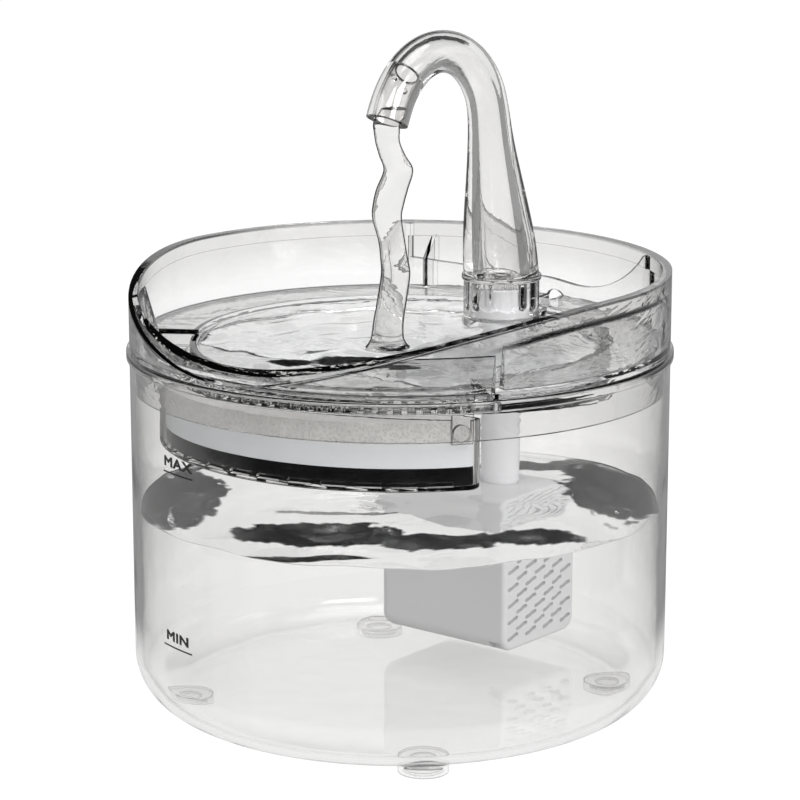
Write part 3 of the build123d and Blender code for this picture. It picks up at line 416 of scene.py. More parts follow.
def tray_material(name, tint, edge_shade, edge_start, refraction):
    """Clear tray: flow waves that are strong in the wall near the gate, flutes in the pedestal, and painted shade
    in dark lines along its rim and edges and on the upper part of its wall.
    """
    t = new_material(name)
    place = t.place()
    x, y, z = t.split(place)
    marks = t.group(GROUPS["marks"], Low=0.0, High=0.04)
    above = t.ease(z, *TRAY_DECK)
    in_wall = t.fit(t.across(x, y), *TRAY_WALL)
    near_gate = t.ease(t.vector("DOT_PRODUCT", place, TRAY_GATE), *GATE_NEAR)

    # how far a place lies below the rim, which falls along an ellipse towards the front
    run = t.math("DIVIDE", t.math("MINIMUM", y, 0.0), RIM_RUN)
    fall = t.math("SQRT", t.math("SUBTRACT", 1.0, t.times(run, run)))
    rim = t.fit(fall, 0.0, 1.0, TRAY_HIGH.z - RIM_DROP, TRAY_HIGH.z)
    below = t.math("SUBTRACT", rim, z)

    # painted shade: dark lines, one along the rim, fainter at the back, and one under it near the gate
    rim_shade_line = t.times(t.fit(below, 0.15 * MM, 0.35 * MM), t.fit(below, 0.75 * MM, 1.1 * MM, 1.0, 0.0),
                       t.ease(y, 0.0, 0.045, 1.0, 0.5))
    off_line = t.math("ABSOLUTE", t.math("SUBTRACT", below, 5.7 * MM))
    low_shade_line = t.times(t.fit(off_line, 0.5 * MM, 1.1 * MM, 1.0, 0.0), near_gate)
    lines = t.times(t.math("MAXIMUM", rim_shade_line, low_shade_line), in_wall, above)

    # painted shade: the upper part of the tray's wall takes the darker tray colour; the rest keeps the plain one
    upper_wall = t.times(t.fit(z, TANK_RIM + 7 * MM, TANK_RIM + 19 * MM), in_wall)
    body = t.mix(upper_wall, TRAY_LOW_TINT, tint)
    body = t.mix(t.ease(t.facing(), edge_start, 1.0), body, edge_shade)
    body = t.mix(painted_edge_line(t, 0.5 * MM), body, LINE_SHADE)
    body = t.mix(lines, body, RIM_SHADE)

    flow = t.noise(t.vector("MULTIPLY", place, (1.0, 1.0, 2.6)), 42.0, 2.0, Distortion=1.6)
    waves = t.times(flow, t.fit(t.times(near_gate, above), 0.0, 1.0, 0.07, 0.13))
    back = t.math("SUBTRACT", y, RISER_Y)
    flutes = t.math("SINE", t.times(t.math("ARCTAN2", back, x), PEDESTAL_FLUTES))
    on_pedestal = t.times(t.fit(t.across(x, back), *PEDESTAL_EDGE, 1.0, 0.0), above)
    height = t.math("ADD", waves, t.times(flutes, on_pedestal, 0.3))
    glass = clear_shader(t, body, marks["Roughness"], refraction, t.bump(height, 1.0, 2.2 * MM))
    return t.surface(t.passing_light(glass, light_tint(tint)))


def water_material(name, refraction, tint, ripple_scale, ripple_strength, rim=(0.86, 1.0), rim_shade=0.35,
                   outline=0.0, swells=False):
    """Surface of water, with fine ripples over the ones in the mesh. rim: how far round it turns as it is painted
    dark, to rim_shade, a painted shade. outline: how far round a painted dark outline begins. swells: they mirror
    the room, as dimmed mirrors whose darkness is a painted reflection."""
    t = new_material(name)
    place, facing = t.place(), t.facing()
    bump = t.bump(t.noise(place, ripple_scale, 2.0, Distortion=0.8), ripple_strength, 10 * MM)
    # painted shade: the water is painted dark as it turns edge on
    body = t.mix(t.ease(facing, *rim), tint, rim_shade)
    shader = clear_shader(t, body, 0.0, refraction, bump)
    if outline:
        # painted shade: a near-black outline drawn over the water where it turns edge on
        drawn = t.ease(facing, outline, outline + 0.13, 0.0, 0.88)
        shader = t.blend(drawn, shader, t.diffuse(DRAWN_SHADE))
    if swells:
        # painted reflection: on the swells the surface becomes a near-full mirror, dimmed to dark grey and lighter
        # at the sides
        mask = t.out("ShaderNodeAttribute", output="Fac", attribute_name="swell")
        mirrored = t.times(mask, t.ease(facing, 0.10, 0.42, 0.05, 0.97))
        lie = (math.cos(ACROSS), math.sin(ACROSS), 0.0)
        aside = t.fit(t.math("ABSOLUTE", t.vector("DOT_PRODUCT", place, lie)), *SIDE_SWELLS)
        painted_reflection_tint = t.mix(aside, (0.20, 0.20, 0.205), (0.62, 0.62, 0.63))
        mirror = t.out("ShaderNodeBsdfAnisotropic", {"Color": painted_reflection_tint, "Roughness": 0.02, "Normal": bump})
        shader = t.blend(mirrored, shader, mirror)
    return t.surface(t.passing_light(shader, tint))


def moulded_material(name, base, rough, grain=2200.0, depth=0.03 * MM, coat=0.0):
    """Opaque moulded plastic or rubber with a fine grain."""
    t = new_material(name)
    spark = t.group(GROUPS["spark"], Scale=grain, Rough=rough)
    body = t.mix(spark["Tone"], shaded(base, 0.9), base)
    return t.surface(t.principled(body, spark["Roughness"], IOR=1.46, Coat_Weight=coat,
                                  Normal=t.bump(spark["Height"], 0.35, depth)))


def fibrous_material(name, kind, base, shade, scale, depth, sheen=0.0):
    """Wadding, mat or foam: tone and height from one of the soft groups."""
    t = new_material(name)
    fibres = t.group(GROUPS[kind], Scale=scale)
    body = t.mix(fibres["Tone"], shaded(base, shade), base)
    return t.surface(t.principled(body, 0.95, Specular_IOR_Level=0.05, Sheen_Weight=sheen,
                                  Normal=t.bump(fibres["Height"], 0.8, depth)))


def metal_material(name, base, rough, stretch, scale):
    """Metal with a lay: grinding marks, rolled sheet or drawn wire."""
    t = new_material(name)
    lay = t.noise(t.vector("MULTIPLY", t.place(), stretch), scale, 3.0)
    body = t.mix(lay, shaded(base, 0.72), base)
    roughness = t.fit(lay, 0.3, 0.7, rough * 0.7, rough * 1.3)
    return t.surface(t.principled(body, roughness, Metallic=1.0, Normal=t.bump(lay, 0.2, 0.02 * MM)))


def ink_material(name, base):
    """Screen-printed ink, slightly worn."""
    t = new_material(name)
    worn = t.noise(t.place(), 900.0, 3.0)
    body = t.mix(t.fit(worn, 0.55, 0.8), base, 0.08)
    return t.surface(t.principled(body, t.fit(worn, 0.3, 0.7, 0.35, 0.55)))


def build_materials(scene):
    clear, filters, pump = scene.fountain_clear, scene.fountain_filter, scene.fountain_pump
    GROUPS.update(marks=handling_marks_group(), spark=spark_grain_group(), fibre=fibre_mat_group(),
                  cells=open_foam_group())
    tint, edge, start = clear.tint, clear.edge_shade, clear.edge_start
    bend, water_bend = clear.refraction, scene.fountain_water.refraction
    MATERIALS.update({
        # painted shade: each clear moulding here is painted dark seen edge on, some with a dark line along their
        # edges; the tank's wall is also painted darker half way round
        "tank": clear_material("Clear Tank", tint, 0.5, start + 0.1, bend, flank=0.9),
        "tray": tray_material("Clear Tray", clear.tray_shade_tint, edge, start - 0.06, bend),
        "neck": clear_material("Clear Neck", shaded(tint, 0.985), edge, start - 0.06, bend,
                               wave=0.03, line=0.4 * MM),
        "filter_box": clear_material("Clear Filter Box", shaded(tint, 0.98), edge, start, bend,
                                     line=0.3 * MM),
        "liner": clear_material("Clear Liner", tint, edge, start - 0.1, SOFT_REFRACTION, high=0.05),
        # painted shade: the feet are painted near black seen edge on, with a dark line along their edges drawn over
        # the shine
        "feet": clear_material("Clear Feet", tint, 0.03, start - 0.1, SOFT_REFRACTION,
                               low=0.02, high=0.08, line=0.9 * MM, drawn=0.45),
        "seal": moulded_material("Milky Silicone", (0.80, 0.80, 0.78), 0.4),
        "pipe": moulded_material("White Pipe", (0.84, 0.84, 0.86), 0.25, depth=0.01 * MM),
        "carbon": fibrous_material("Carbon Mat", "fibre", filters.carbon, 0.3, 500.0, 0.4 * MM),
        "wadding": fibrous_material("Wadding", "fibre", filters.wadding, 0.95, 600.0, 0.3 * MM, sheen=0.2),
        "foam": fibrous_material("Grey Foam", "cells", filters.foam, 0.8, 1100.0, 0.25 * MM),
        "intake_foam": fibrous_material("Intake Foam", "cells", 0.80, 0.6, 700.0, 0.4 * MM),
        "moulding": moulded_material("Pump Moulding", pump.moulding, 0.42, depth=pump.grain_depth),
        "inner": moulded_material("Inner Moulding", 0.85, 0.35),
        "resin": moulded_material("Potting Resin", (0.018, 0.018, 0.02), 0.22, grain=300.0, coat=0.4),
        "rubber": moulded_material("Black Rubber", 0.03, 0.6),
        "gland": moulded_material("Gland", 0.72, 0.5),
        "ferrite": moulded_material("Ferrite", (0.035, 0.035, 0.04), 0.5, grain=900.0,
                                    depth=0.06 * MM),
        "shaft": metal_material("Ground Steel", (0.68, 0.68, 0.70), 0.18, (1.0, 30.0, 30.0), 60.0),
        "sheet_steel": metal_material("Core Sheet", (0.36, 0.36, 0.38), 0.4, (30.0, 1.0, 1.0), 120.0),
        "copper": metal_material("Enamelled Copper", (0.75, 0.32, 0.13), 0.25, (1.0, 20.0, 1.0), 150.0),
        "ink": ink_material("Printed Ink", scene.fountain_marks.ink),
        "tank_surface": water_material("Tank Water Surface", water_bend, WATER_TINT, 60.0, 0.05, swells=True),
        "pool_surface": water_material("Pool Water Surface", water_bend, WATER_TINT, 80.0, 0.08, swells=True),
        "water_body": water_material("Water Body", 1.01, (0.985, 0.988, 0.99), 20.0, 0.0),
        # painted shade: the falling water has a grey tint, darker than water, and a painted dark rim and outline
        "stream": water_material("Falling Water", water_bend, (0.86, 0.855, 0.85), 120.0, 0.04,
                                 rim=(0.46, 0.68), rim_shade=0.004, outline=0.61),
    })


def paint(**finishes):
    """Gives carried-over solids their finishes."""
    for solid_name, material in finishes.items():
        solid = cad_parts[solid_name]
        if not solid.material_slots:
            solid.data.materials.append(None)
        for place in solid.material_slots:
            place.material = MATERIALS[material]


# ---- mesh helpers
def add_object(name, data):
    made = bpy.data.objects.new(name, data)
    bpy.context.scene.collection.objects.link(made)
    return made


def smooth(mesh, sharp=40):
    """Smooth shading, with creases where faces meet at more than an angle in degrees."""
    mesh.shade_smooth()
    mesh.set_sharp_from_angle(angle=math.radians(sharp))


def mesh_object(name, vertices, faces, sharp=40):
    mesh = bpy.data.meshes.new(name)
    mesh.from_pydata(vertices, [], faces)
    mesh.validate()
    smooth(mesh, sharp)
    return add_object(name, mesh)


def settle(obj):
    """Gives an object the plain mesh that its modifiers make, or a new object that of a text."""
    bpy.context.view_layer.update()
    mesh = bpy.data.meshes.new_from_object(obj.evaluated_get(bpy.context.evaluated_depsgraph_get()))
    if obj.type == "MESH":
        obj.modifiers.clear()
        obj.data = mesh
        return obj
    bpy.data.objects.remove(obj)
    return add_object("flat", mesh)


def carve(obj, *cutters):
    for cutter in cutters:
        cut = obj.modifiers.new("cut", "BOOLEAN")
        cut.operation = "DIFFERENCE"
        cut.solver = "EXACT"
        cut.object = cutter
        settle(obj)
        bpy.data.objects.remove(cutter)
    return obj


def lathe(name, profile, segments, lift=lambda index, angle, radius, height: (radius, height)):
    """Closed solid turned about Z. profile runs from one point on the axis to another, outside first;
    lift may move a point, given its place in the profile, angle, radius and height."""
    vertices, faces, rings = [], [], []
    for index, (radius, height) in enumerate(profile):
        points = segments if radius else 1
        rings.append(range(len(vertices), len(vertices) + points))
        for step in range(points):
            angle = TURN * step / segments
            r, z = lift(index, angle, radius, height)
            vertices.append((r * math.cos(angle), r * math.sin(angle), z))
    for low, high in zip(rings, rings[1:]):
        for step in range(segments):
            after = (step + 1) % segments
            if len(low) == 1:
                faces.append((low[0], high[after], high[step]))
            elif len(high) == 1:
                faces.append((low[step], low[after], high[0]))
            else:
                faces.append((low[step], low[after], high[after], high[step]))
    return mesh_object(name, vertices, faces)


def arc(centre_x, centre_y, radius, start, stop, steps):
    """Points on an arc, for a profile or an outline, angles in degrees."""
    angles = [math.radians(start + (stop - start) * step / steps) for step in range(steps + 1)]
    return [(centre_x + radius * math.cos(angle), centre_y + radius * math.sin(angle)) for angle in angles]


def prism(name, outline, low, high, axis):
    """Closed prism on an outline. axis is the world axis, 0 to 2, that it runs along."""
    others = [a for a in range(3) if a != axis]
    vertices = []
    for level in (low, high):
        for first, second in outline:
            point = [0.0, 0.0, 0.0]
            point[axis], point[others[0]], point[others[1]] = level, first, second
            vertices.append(point)
    n = len(outline)
    faces = [tuple(range(n)), tuple(range(2 * n - 1, n - 1, -1))]
    faces += [(i, i + n, (i + 1) % n + n, (i + 1) % n) for i in range(n)]
    made = mesh_object(name, vertices, faces)
    turn_outwards(made)
    return made


def turn_outwards(obj):
    work = bmesh.new()
    work.from_mesh(obj.data)
    bmesh.ops.remove_doubles(work, verts=work.verts, dist=1e-7)
    bmesh.ops.recalc_face_normals(work, faces=work.faces)
    work.to_mesh(obj.data)
    work.free()


def swell(x, y, swells):
    """How far a place lies on one of the steep swells, 0 to 1, and the tilt of the surface there, in radians.
    swells: centre and half sizes along and across the lie, in millimetres, tilt in degrees, strength."""
    along = (x * math.cos(ACROSS) + y * math.sin(ACROSS)) / MM
    across = (y * math.cos(ACROSS) - x * math.sin(ACROSS)) / MM
    ragged = noise.noise(Vector((along * 0.14, across * 0.09, 3.0))) + 0.5 * noise.noise(
        Vector((along * 0.38, across * 0.2, 8.0)))
    ragged_edge, edge_width, ragged_tilt = 0.30, 0.06, 0.25
    best, tilt = 0.0, 0.0
    for centre_along, centre_across, half_along, half_across, degrees, strength in swells:
        away = math.hypot((along - centre_along) / half_along, (across - centre_across) / half_across)
        inside = strength * min(1.0, max(0.0, (1.0 + ragged_edge * ragged - away) / edge_width))
        if inside > best:
            best, tilt = inside, math.radians(degrees * (1 + ragged_tilt * ragged))
    return best, tilt


def ripples(x, y, centres, waves):
    """Height of small waves at a place: rings round each centre, and crossing trains."""
    height = 0.0
    for cx, cy, size, wavelength, reach in centres:
        away = math.hypot(x - cx, y - cy)
        height += size * math.cos(TURN * away / wavelength) * math.exp(-away / reach)
    for direction, size, wavelength, phase in waves:
        along = x * math.cos(direction) + y * math.sin(direction)
        height += size * math.sin(TURN * along / wavelength + phase)
    return height


# ---- stage
class FOUNTAIN_OT_stage(bpy.types.Operator):
    """Camera, white floor and soft studio light"""
    bl_idname = "fountain.stage"
    bl_label = "Stage"

    # name, setting of the power, sides and place of each lamp
    lamps = (
        ("Key", "key_power", (0.9, 0.7), (1.35, -0.35, 0.95)),
        ("Fill", "fill_power", (0.8, 0.8), (-0.9, -1.1, 0.8)),
        ("Top", "top_power", (0.9, 0.9), (0.1, 0.2, 1.5)),
    )
    lamp_aim = (0, 0, 0.1)
    near_floor = 0.9  # brightness, in reflections, of the floor that the fountain stands on
    near_reach = (0.11, 0.17)
    floor_turn = 0.55  # how far towards the front the floor has reached its brightness there
    paper = 0.8
    # how steeply a reflected ray goes up, 0 to 1, and the brightness of the room there
    room = ((0.0, 0.85), (0.36, 0.9), (0.41, 0.04), (0.90, 0.02), (0.93, 1.0), (0.97, 1.0), (0.985, 0.25),
            (1.0, 0.4))

    def execute(self, context):
        scene = context.scene
        wanted = scene.fountain_stage
        scene.view_settings.view_transform = "Standard"
        scene.cycles.max_bounces = 24
        scene.cycles.transmission_bounces = 24
        scene.cycles.transparent_max_bounces = 40
        self.add_camera(scene, wanted)
        self.add_floor(wanted)
        self.add_lamps(wanted)
        self.add_world(scene, wanted)
        return {"FINISHED"}

    def add_camera(self, scene, wanted):
        data = bpy.data.cameras.new("Camera")
        data.lens = wanted.camera_lens
        data.sensor_width = 36
        data.clip_start = 0.01
        camera = add_object("Camera", data)
        camera.location = (wanted.camera_distance * math.sin(wanted.camera_azimuth),
                           -wanted.camera_distance * math.cos(wanted.camera_azimuth), wanted.camera_height)
        camera.rotation_euler = (math.pi / 2 - wanted.camera_tilt, 0, wanted.camera_azimuth)
        scene.camera = camera

    def add_floor(self, wanted):
        half = wanted.floor_size / 2
        corners = [(-half, -half, 0), (half, -half, 0), (half, half, 0), (-half, half, 0)]
        floor = mesh_object("studio_floor", corners, [(0, 1, 2, 3)])
        t = new_material("Studio Floor")
        path = t.add("ShaderNodeLightPath").outputs
        mirrored = t.math("GREATER_THAN", path["Glossy Depth"], 0.5)
        lighting = t.math("MAXIMUM", path["Is Diffuse Ray"], path["Is Shadow Ray"])
        place = t.place()
        front = (math.sin(wanted.camera_azimuth), -math.cos(wanted.camera_azimuth), 0.0)
        towards = t.vector("DOT_PRODUCT", t.vector("NORMALIZE", place), front)
        sided = t.ease(towards, 0.0, self.floor_turn, wanted.mirror_back, wanted.mirror_front)
        far = t.ease(t.vector("LENGTH", place), *self.near_reach)
        shade = t.out("ShaderNodeMix", {0: far, 2: self.near_floor, 3: sided}, data_type="FLOAT")
        white = t.out("ShaderNodeAddShader", {0: t.diffuse(0.12), 1: t.glow(0.95)})
        shown = t.blend(mirrored, white, t.glow(shade))
        material = t.surface(t.blend(lighting, shown, t.diffuse(self.paper)))
        material.cycles.emission_sampling = "NONE"
        floor.data.materials.append(material)

    def add_lamps(self, wanted):
        for name, power, size, place in self.lamps:
            data = bpy.data.lights.new(name, "AREA")
            data.shape = "RECTANGLE"
            data.size, data.size_y = size
            data.energy = getattr(wanted, power)
            lamp = add_object(name, data)
            lamp.visible_glossy = False
            lamp.location = place
            lamp.rotation_euler = (Vector(self.lamp_aim) - Vector(place)).to_track_quat("-Z", "Y").to_euler()

    def add_world(self, scene, wanted):
        t = new_nodes(bpy.data.worlds.new("Studio"))
        direction = t.out("ShaderNodeTexCoord", output="Generated")
        shift = t.fit(t.noise(direction, 2.2, 1.0), 0.3, 0.7, -0.12, 0.12)
        bands = t.add("ShaderNodeValToRGB", {0: t.math("ADD", t.split(direction)[2], shift)})
        stops = bands.color_ramp.elements
        while len(stops) < len(self.room):
            stops.new(0.5)
        for stop, (position, _) in zip(stops, self.room):
            stop.position = position
        for stop, (_, grey) in zip(stops, self.room):
            stop.color = rgba(grey)
        path = t.add("ShaderNodeLightPath").outputs
        mirrored = t.math("GREATER_THAN", path["Glossy Depth"], 0.5)
        ambient, studio, plain = (
            t.out("ShaderNodeBackground", {"Color": base, "Strength": strength})
            for base, strength in (((1.0, 0.995, 0.985), wanted.ambient), (bands.outputs[0], 1.0), (1.0, 1.0)))
        shown = t.blend(mirrored, plain, studio)
        world = t.surface(t.blend(path["Is Diffuse Ray"], shown, ambient), "World")
        world.cycles.sampling_method = "NONE"
        scene.world = world


# ---- tank
class FOUNTAIN_OT_tank(bpy.types.Operator):
    """Clear round tank with its rolled bead and cord slot, and the finish of its feet"""
    bl_idname = "fountain.tank"
    bl_label = "Tank"

    bead_height = 3.4 * MM
    bead_round = 0.8 * MM
    bead_break = 5.5 * MM
    edge = 0.35 * MM
    slot_half = 4 * MM
    slot_depth = 4.6 * MM
    slot_over = 5 * MM
    slot_reach = (84 * MM, 96 * MM)
    foot_gap = 0.06 * MM

    def execute(self, context):
        wanted = context.scene.fountain_clear
        outer, rim, low = TANK_RADIUS, TANK_RIM, TANK_BOTTOM + self.foot_gap
        inner, flat = outer - TANK_WALL, outer - TANK_CORNER
        bead_low, rounding = rim - self.bead_height, self.bead_round
        bead_middle = TANK_BEAD_RADIUS - rounding
        profile = [(0, low), (flat * 0.5, low)]
        profile += arc(flat, low + TANK_CORNER, TANK_CORNER, -90, 0, 24)
        profile += [(outer, low + 0.35 * (rim - low)), (outer, low + 0.65 * (rim - low))]
        bead_from = len(profile)
        profile += [(outer, bead_low - 0.3 * MM), (outer + 0.1 * MM, bead_low)]
        profile += arc(bead_middle, bead_low + rounding, rounding, -80, 0, 4)
        profile += arc(bead_middle, rim - rounding, rounding, 0, 90, 6)
        bead_to = len(profile)
        profile += [(inner + self.edge, rim)] + arc(inner + self.edge, rim - self.edge, self.edge, 110, 180, 3)
        profile += [(inner, low + 0.6 * (rim - low)), (inner, low + 0.3 * (rim - low))]
        profile += arc(flat, low + TANK_CORNER, TANK_CORNER - TANK_WALL, 0, -90, 20)
        profile += [(flat * 0.5, low + TANK_FLOOR), (0, low + TANK_FLOOR)]

        def lift(index, angle, radius, height):
            """Breaks the bead off on both sides of the cord slot."""
            if bead_from <= index < bead_to and radius > outer:
                if math.sin(angle) > 0 and abs(radius * math.cos(angle)) < self.bead_break:
                    radius = outer
            return radius, height

        made = lathe("tank_wall", profile, wanted.tank_segments, lift)
        outline = arc(0.0, rim - self.slot_depth + self.slot_half, self.slot_half, 180, 360, 15)
        outline += [(self.slot_half, rim + self.slot_over), (-self.slot_half, rim + self.slot_over)]
        carve(made, prism("slot_cutter", outline, *self.slot_reach, 1))
        made.data.materials.clear()
        made.data.materials.append(MATERIALS["tank"])
        smooth(made.data, 35)
        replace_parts(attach(made, "root"), "tank")
        paint(tank_feet="feet")
        return {"FINISHED"}


class FOUNTAIN_OT_level_marks(bpy.types.Operator):
    """Printed upper and lower level marks on the tank's outside"""
    bl_idname = "fountain.level_marks"
    bl_label = "Level marks"

    print_height = 0.04 * MM
    word_rise = 2.1 * MM  # foot of a word above its line
    capital_share = 0.69  # height of the font's capitals at size 1
    bold = 0.065  # how much a stroke is widened by, as a share of the letter's height
    spacing = 1.08
    upper_middle = math.radians(-13.0)
    lower_middle = math.radians(-14.0)

    def execute(self, context):
        wanted = context.scene.fountain_marks
        marks = []
        for word, level, middle in ((wanted.upper_word, wanted.upper_level, self.upper_middle),
                                    (wanted.lower_word, wanted.lower_level, self.lower_middle)):
            marks.append(self.word(wanted, word, level + self.word_rise, middle))
            marks.append(self.line(wanted, level, middle))
        work = bmesh.new()
        for mark in marks:
            work.from_mesh(mark.data)
            bpy.data.objects.remove(mark)
        mesh = bpy.data.meshes.new("level_marks")
        work.to_mesh(mesh)
        work.free()
        made = add_object("level_marks", mesh)
        made.data.materials.append(MATERIALS["ink"])
        turn_outwards(made)
        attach(made, "root")
        return {"FINISHED"}

    def wrapped(self, middle, across, up, out):
        """Place of a flat point on the tank: middle is its angle from the front, out its rise off the wall."""
        angle = middle + across / TANK_RADIUS
        radius = TANK_RADIUS + out
        return radius * math.sin(angle), -radius * math.cos(angle), up

    def word(self, wanted, text, base, middle):
        height = wanted.letter_height
        curve = bpy.data.curves.new("word", "FONT")
        curve.body = text
        curve.align_x = "CENTER"
        curve.size = height / self.capital_share
        curve.bevel_depth = self.bold * height
        curve.bevel_resolution = 1
        curve.extrude = self.print_height / 2
        curve.resolution_u = 4
        curve.space_character = self.spacing
        flat = settle(add_object("word", curve))
        deep = max(vertex.co.z for vertex in flat.data.vertices)
        for vertex in flat.data.vertices:
            x, y, z = vertex.co
            vertex.co = self.wrapped(middle, wanted.letter_stretch * x, base + y,
                                     self.print_height * (0.7 + 0.4 * z / deep))
        return flat

    def line(self, wanted, level, middle):
        long, wide = wanted.line_length, wanted.line_width
        steps, vertices, faces = 16, [], []
        for step in range(steps + 1):
            across = long * (step / steps - 0.5)
            for up, out in ((-wide / 2, 0.2), (-wide / 2, 1.2), (wide / 2, 1.2), (wide / 2, 0.2)):
                vertices.append(self.wrapped(middle, across, level + up, out * self.print_height))
        for step in range(steps):
            a, b = 4 * step, 4 * step + 4
            for i in range(4):
                j = (i + 1) % 4
                faces.append((a + i, a + j, b + j, b + i))
        faces += [(0, 1, 2, 3), (4 * steps, 4 * steps + 3, 4 * steps + 2, 4 * steps + 1)]
        return mesh_object("line", vertices, faces)


# ---- tray, spout and filter
class FOUNTAIN_OT_tray(bpy.types.Operator):
    """Finish of the drinking tray, the riser and the spout"""
    bl_idname = "fountain.tray"
    bl_label = "Tray and spout"

    def execute(self, context):
        paint(tray="tray", riser_pipe="pipe", spout_neck="neck", spout_nozzle="liner", spout_seal="seal")
        return {"FINISHED"}


class FOUNTAIN_OT_filter(bpy.types.Operator):
    """Finish of the filter case and of its three layers"""
    bl_idname = "fountain.filter"
    bl_label = "Filter"

    def execute(self, context):
        paint(filter_case="filter_box", carbon_layer="carbon", cotton_layer="wadding", sponge_layer="foam")
        return {"FINISHED"}


# ---- pump
class FOUNTAIN_OT_pump(bpy.types.Operator):
    """Finish of the pump's mouldings and of the parts that turn"""
    bl_idname = "fountain.pump"
    bl_label = "Pump"

    def execute(self, context):
        paint(pump_housing="moulding", intake_cover="moulding", intake_sponge="intake_foam", potting="resin",
              cord_gland="gland", volute_cover="inner", impeller="inner", front_bush="rubber",
              rear_bush="rubber", rotor_shaft="shaft", rotor_magnet="ferrite")
        return {"FINISHED"}


def stack_tree(name, axis):
    """Repeats the object's own mesh along an axis: Count copies, Pitch apart."""
    tree = bpy.data.node_groups.new(name, "GeometryNodeTree")
    for socket, kind in (("Geometry", "Geometry"), ("Count", "Int"), ("Pitch", "Float"), ("Material", "Material")):
        tree.interface.new_socket(socket, in_out="INPUT", socket_type="NodeSocket" + kind)
    tree.interface.new_socket("Geometry", in_out="OUTPUT", socket_type="NodeSocketGeometry")
    t, given = Nodes(tree), tree.nodes.new("NodeGroupInput").outputs
    direction = [0.0, 0.0, 0.0]
    direction[axis] = 1.0
    step = t.out("ShaderNodeVectorMath", {0: direction, "Scale": given["Pitch"]}, operation="SCALE")
    row = t.out("GeometryNodeMeshLine", {"Count": given["Count"], "Offset": step}, mode="OFFSET")
    copies = t.out("GeometryNodeInstanceOnPoints", {"Points": row, "Instance": given["Geometry"]})
    real = t.out("GeometryNodeRealizeInstances", {"Geometry": copies})
    dressed = t.out("GeometryNodeSetMaterial", {"Geometry": real, "Material": given["Material"]})
    t.add("NodeGroupOutput", {0: dressed})
    return tree


def stacked(obj, tree, **values):
    """Runs a stack tree on an object, with its inputs set by identifier, and keeps the mesh."""
    made = obj.modifiers.new(tree.name, "NODES")
    made.node_group = tree
    for item in tree.interface.items_tree:
        if item.item_type == "SOCKET" and item.in_out == "INPUT" and item.name in values:
            made[item.identifier] = values[item.name]
    return settle(obj)


class FOUNTAIN_OT_motor(bpy.types.Operator):
    """Core built up of thin sheets, and its winding turn by turn"""
    bl_idname = "fountain.motor"
    bl_label = "Motor"

    well = 9.1 * MM
    yoke = 6.5 * MM
    gap = 14.6 * MM
    coil_slot = 16.6 * MM
    arc_steps = 12
    coil_gap = 0.1 * MM
    layers = 3
    wire_sides = 6
    turn_steps = 40

    def execute(self, context):
        wanted = context.scene.fountain_pump
        self.core(wanted)
        self.winding(wanted)
        return {"FINISHED"}

    def core(self, wanted):
        low, high = CORE_LOW, CORE_HIGH
        sheet, pitch = wanted.sheet_thickness, (high.x - low.x) / wanted.sheet_count
        reach = math.sqrt(self.well ** 2 - (self.gap / 2) ** 2)
        start = math.degrees(math.atan2(reach, self.gap / 2))
        stop = -math.degrees(math.acos(self.coil_slot / 2 / self.well))
        right = [(high.y, low.z), (high.y, high.z), (ROTOR_Y + self.gap / 2, high.z)]
        right += arc(ROTOR_Y, ROTOR_Z, self.well, start, stop, self.arc_steps)
        right += [(ROTOR_Y + self.coil_slot / 2, low.z + self.yoke)]
        outline = right + [(2 * ROTOR_Y - y, z) for y, z in reversed(right)]
        core = prism("core_sheets", outline, low.x + (pitch - sheet) / 2, low.x + (pitch + sheet) / 2, 0)
        stacked(core, stack_tree("Sheet Stack", 0), Count=wanted.sheet_count, Pitch=pitch,
                Material=MATERIALS["sheet_steel"])
        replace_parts(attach(core, "tray"), "stator_core")

    def winding(self, wanted):
        low, high, wire = COIL_LOW, COIL_HIGH, wanted.wire_radius
        pitch = (high.y - low.y) / wanted.wire_turns
        centre = ((low.x + high.x) / 2, (low.z + high.z) / 2)
        sides, around = self.wire_sides, self.turn_steps
        vertices, faces = [], []
        for layer in range(self.layers):
            half_x = (CORE_HIGH.x - CORE_LOW.x) / 2 + self.coil_gap + wire + layer * 2 * wire
            half_z = self.yoke / 2 + self.coil_gap + wire + layer * 2 * wire
            bend = wire + layer * 2 * wire
            first = len(vertices)
            for step in range(around):
                side, along = divmod(step * 4 / around, 1)
                angle = math.radians(90 * (side + along))
                sign_x, sign_z = ((1, 1), (-1, 1), (-1, -1), (1, -1))[int(side)]
                out = Vector((math.cos(angle), 0, math.sin(angle)))
                middle = Vector((centre[0] + sign_x * (half_x - bend) + bend * math.cos(angle),
                                 low.y + pitch / 2,
                                 centre[1] + sign_z * (half_z - bend) + bend * math.sin(angle)))
                for turn in range(sides):
                    a = TURN * turn / sides
                    vertices.append(middle + out * wire * math.cos(a) + Vector((0, wire * math.sin(a), 0)))
            for step in range(around):
                a, b = first + step * sides, first + (step + 1) % around * sides
                for turn in range(sides):
                    after = (turn + 1) % sides
                    faces.append((a + turn, a + after, b + after, b + turn))
        coil = mesh_object("winding_turns", vertices, faces)
        turn_outwards(coil)
        stacked(coil, stack_tree("Wire Turns", 1), Count=wanted.wire_turns, Pitch=pitch,
                Material=MATERIALS["copper"])
        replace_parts(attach(coil, "tray"), "pump_coil")


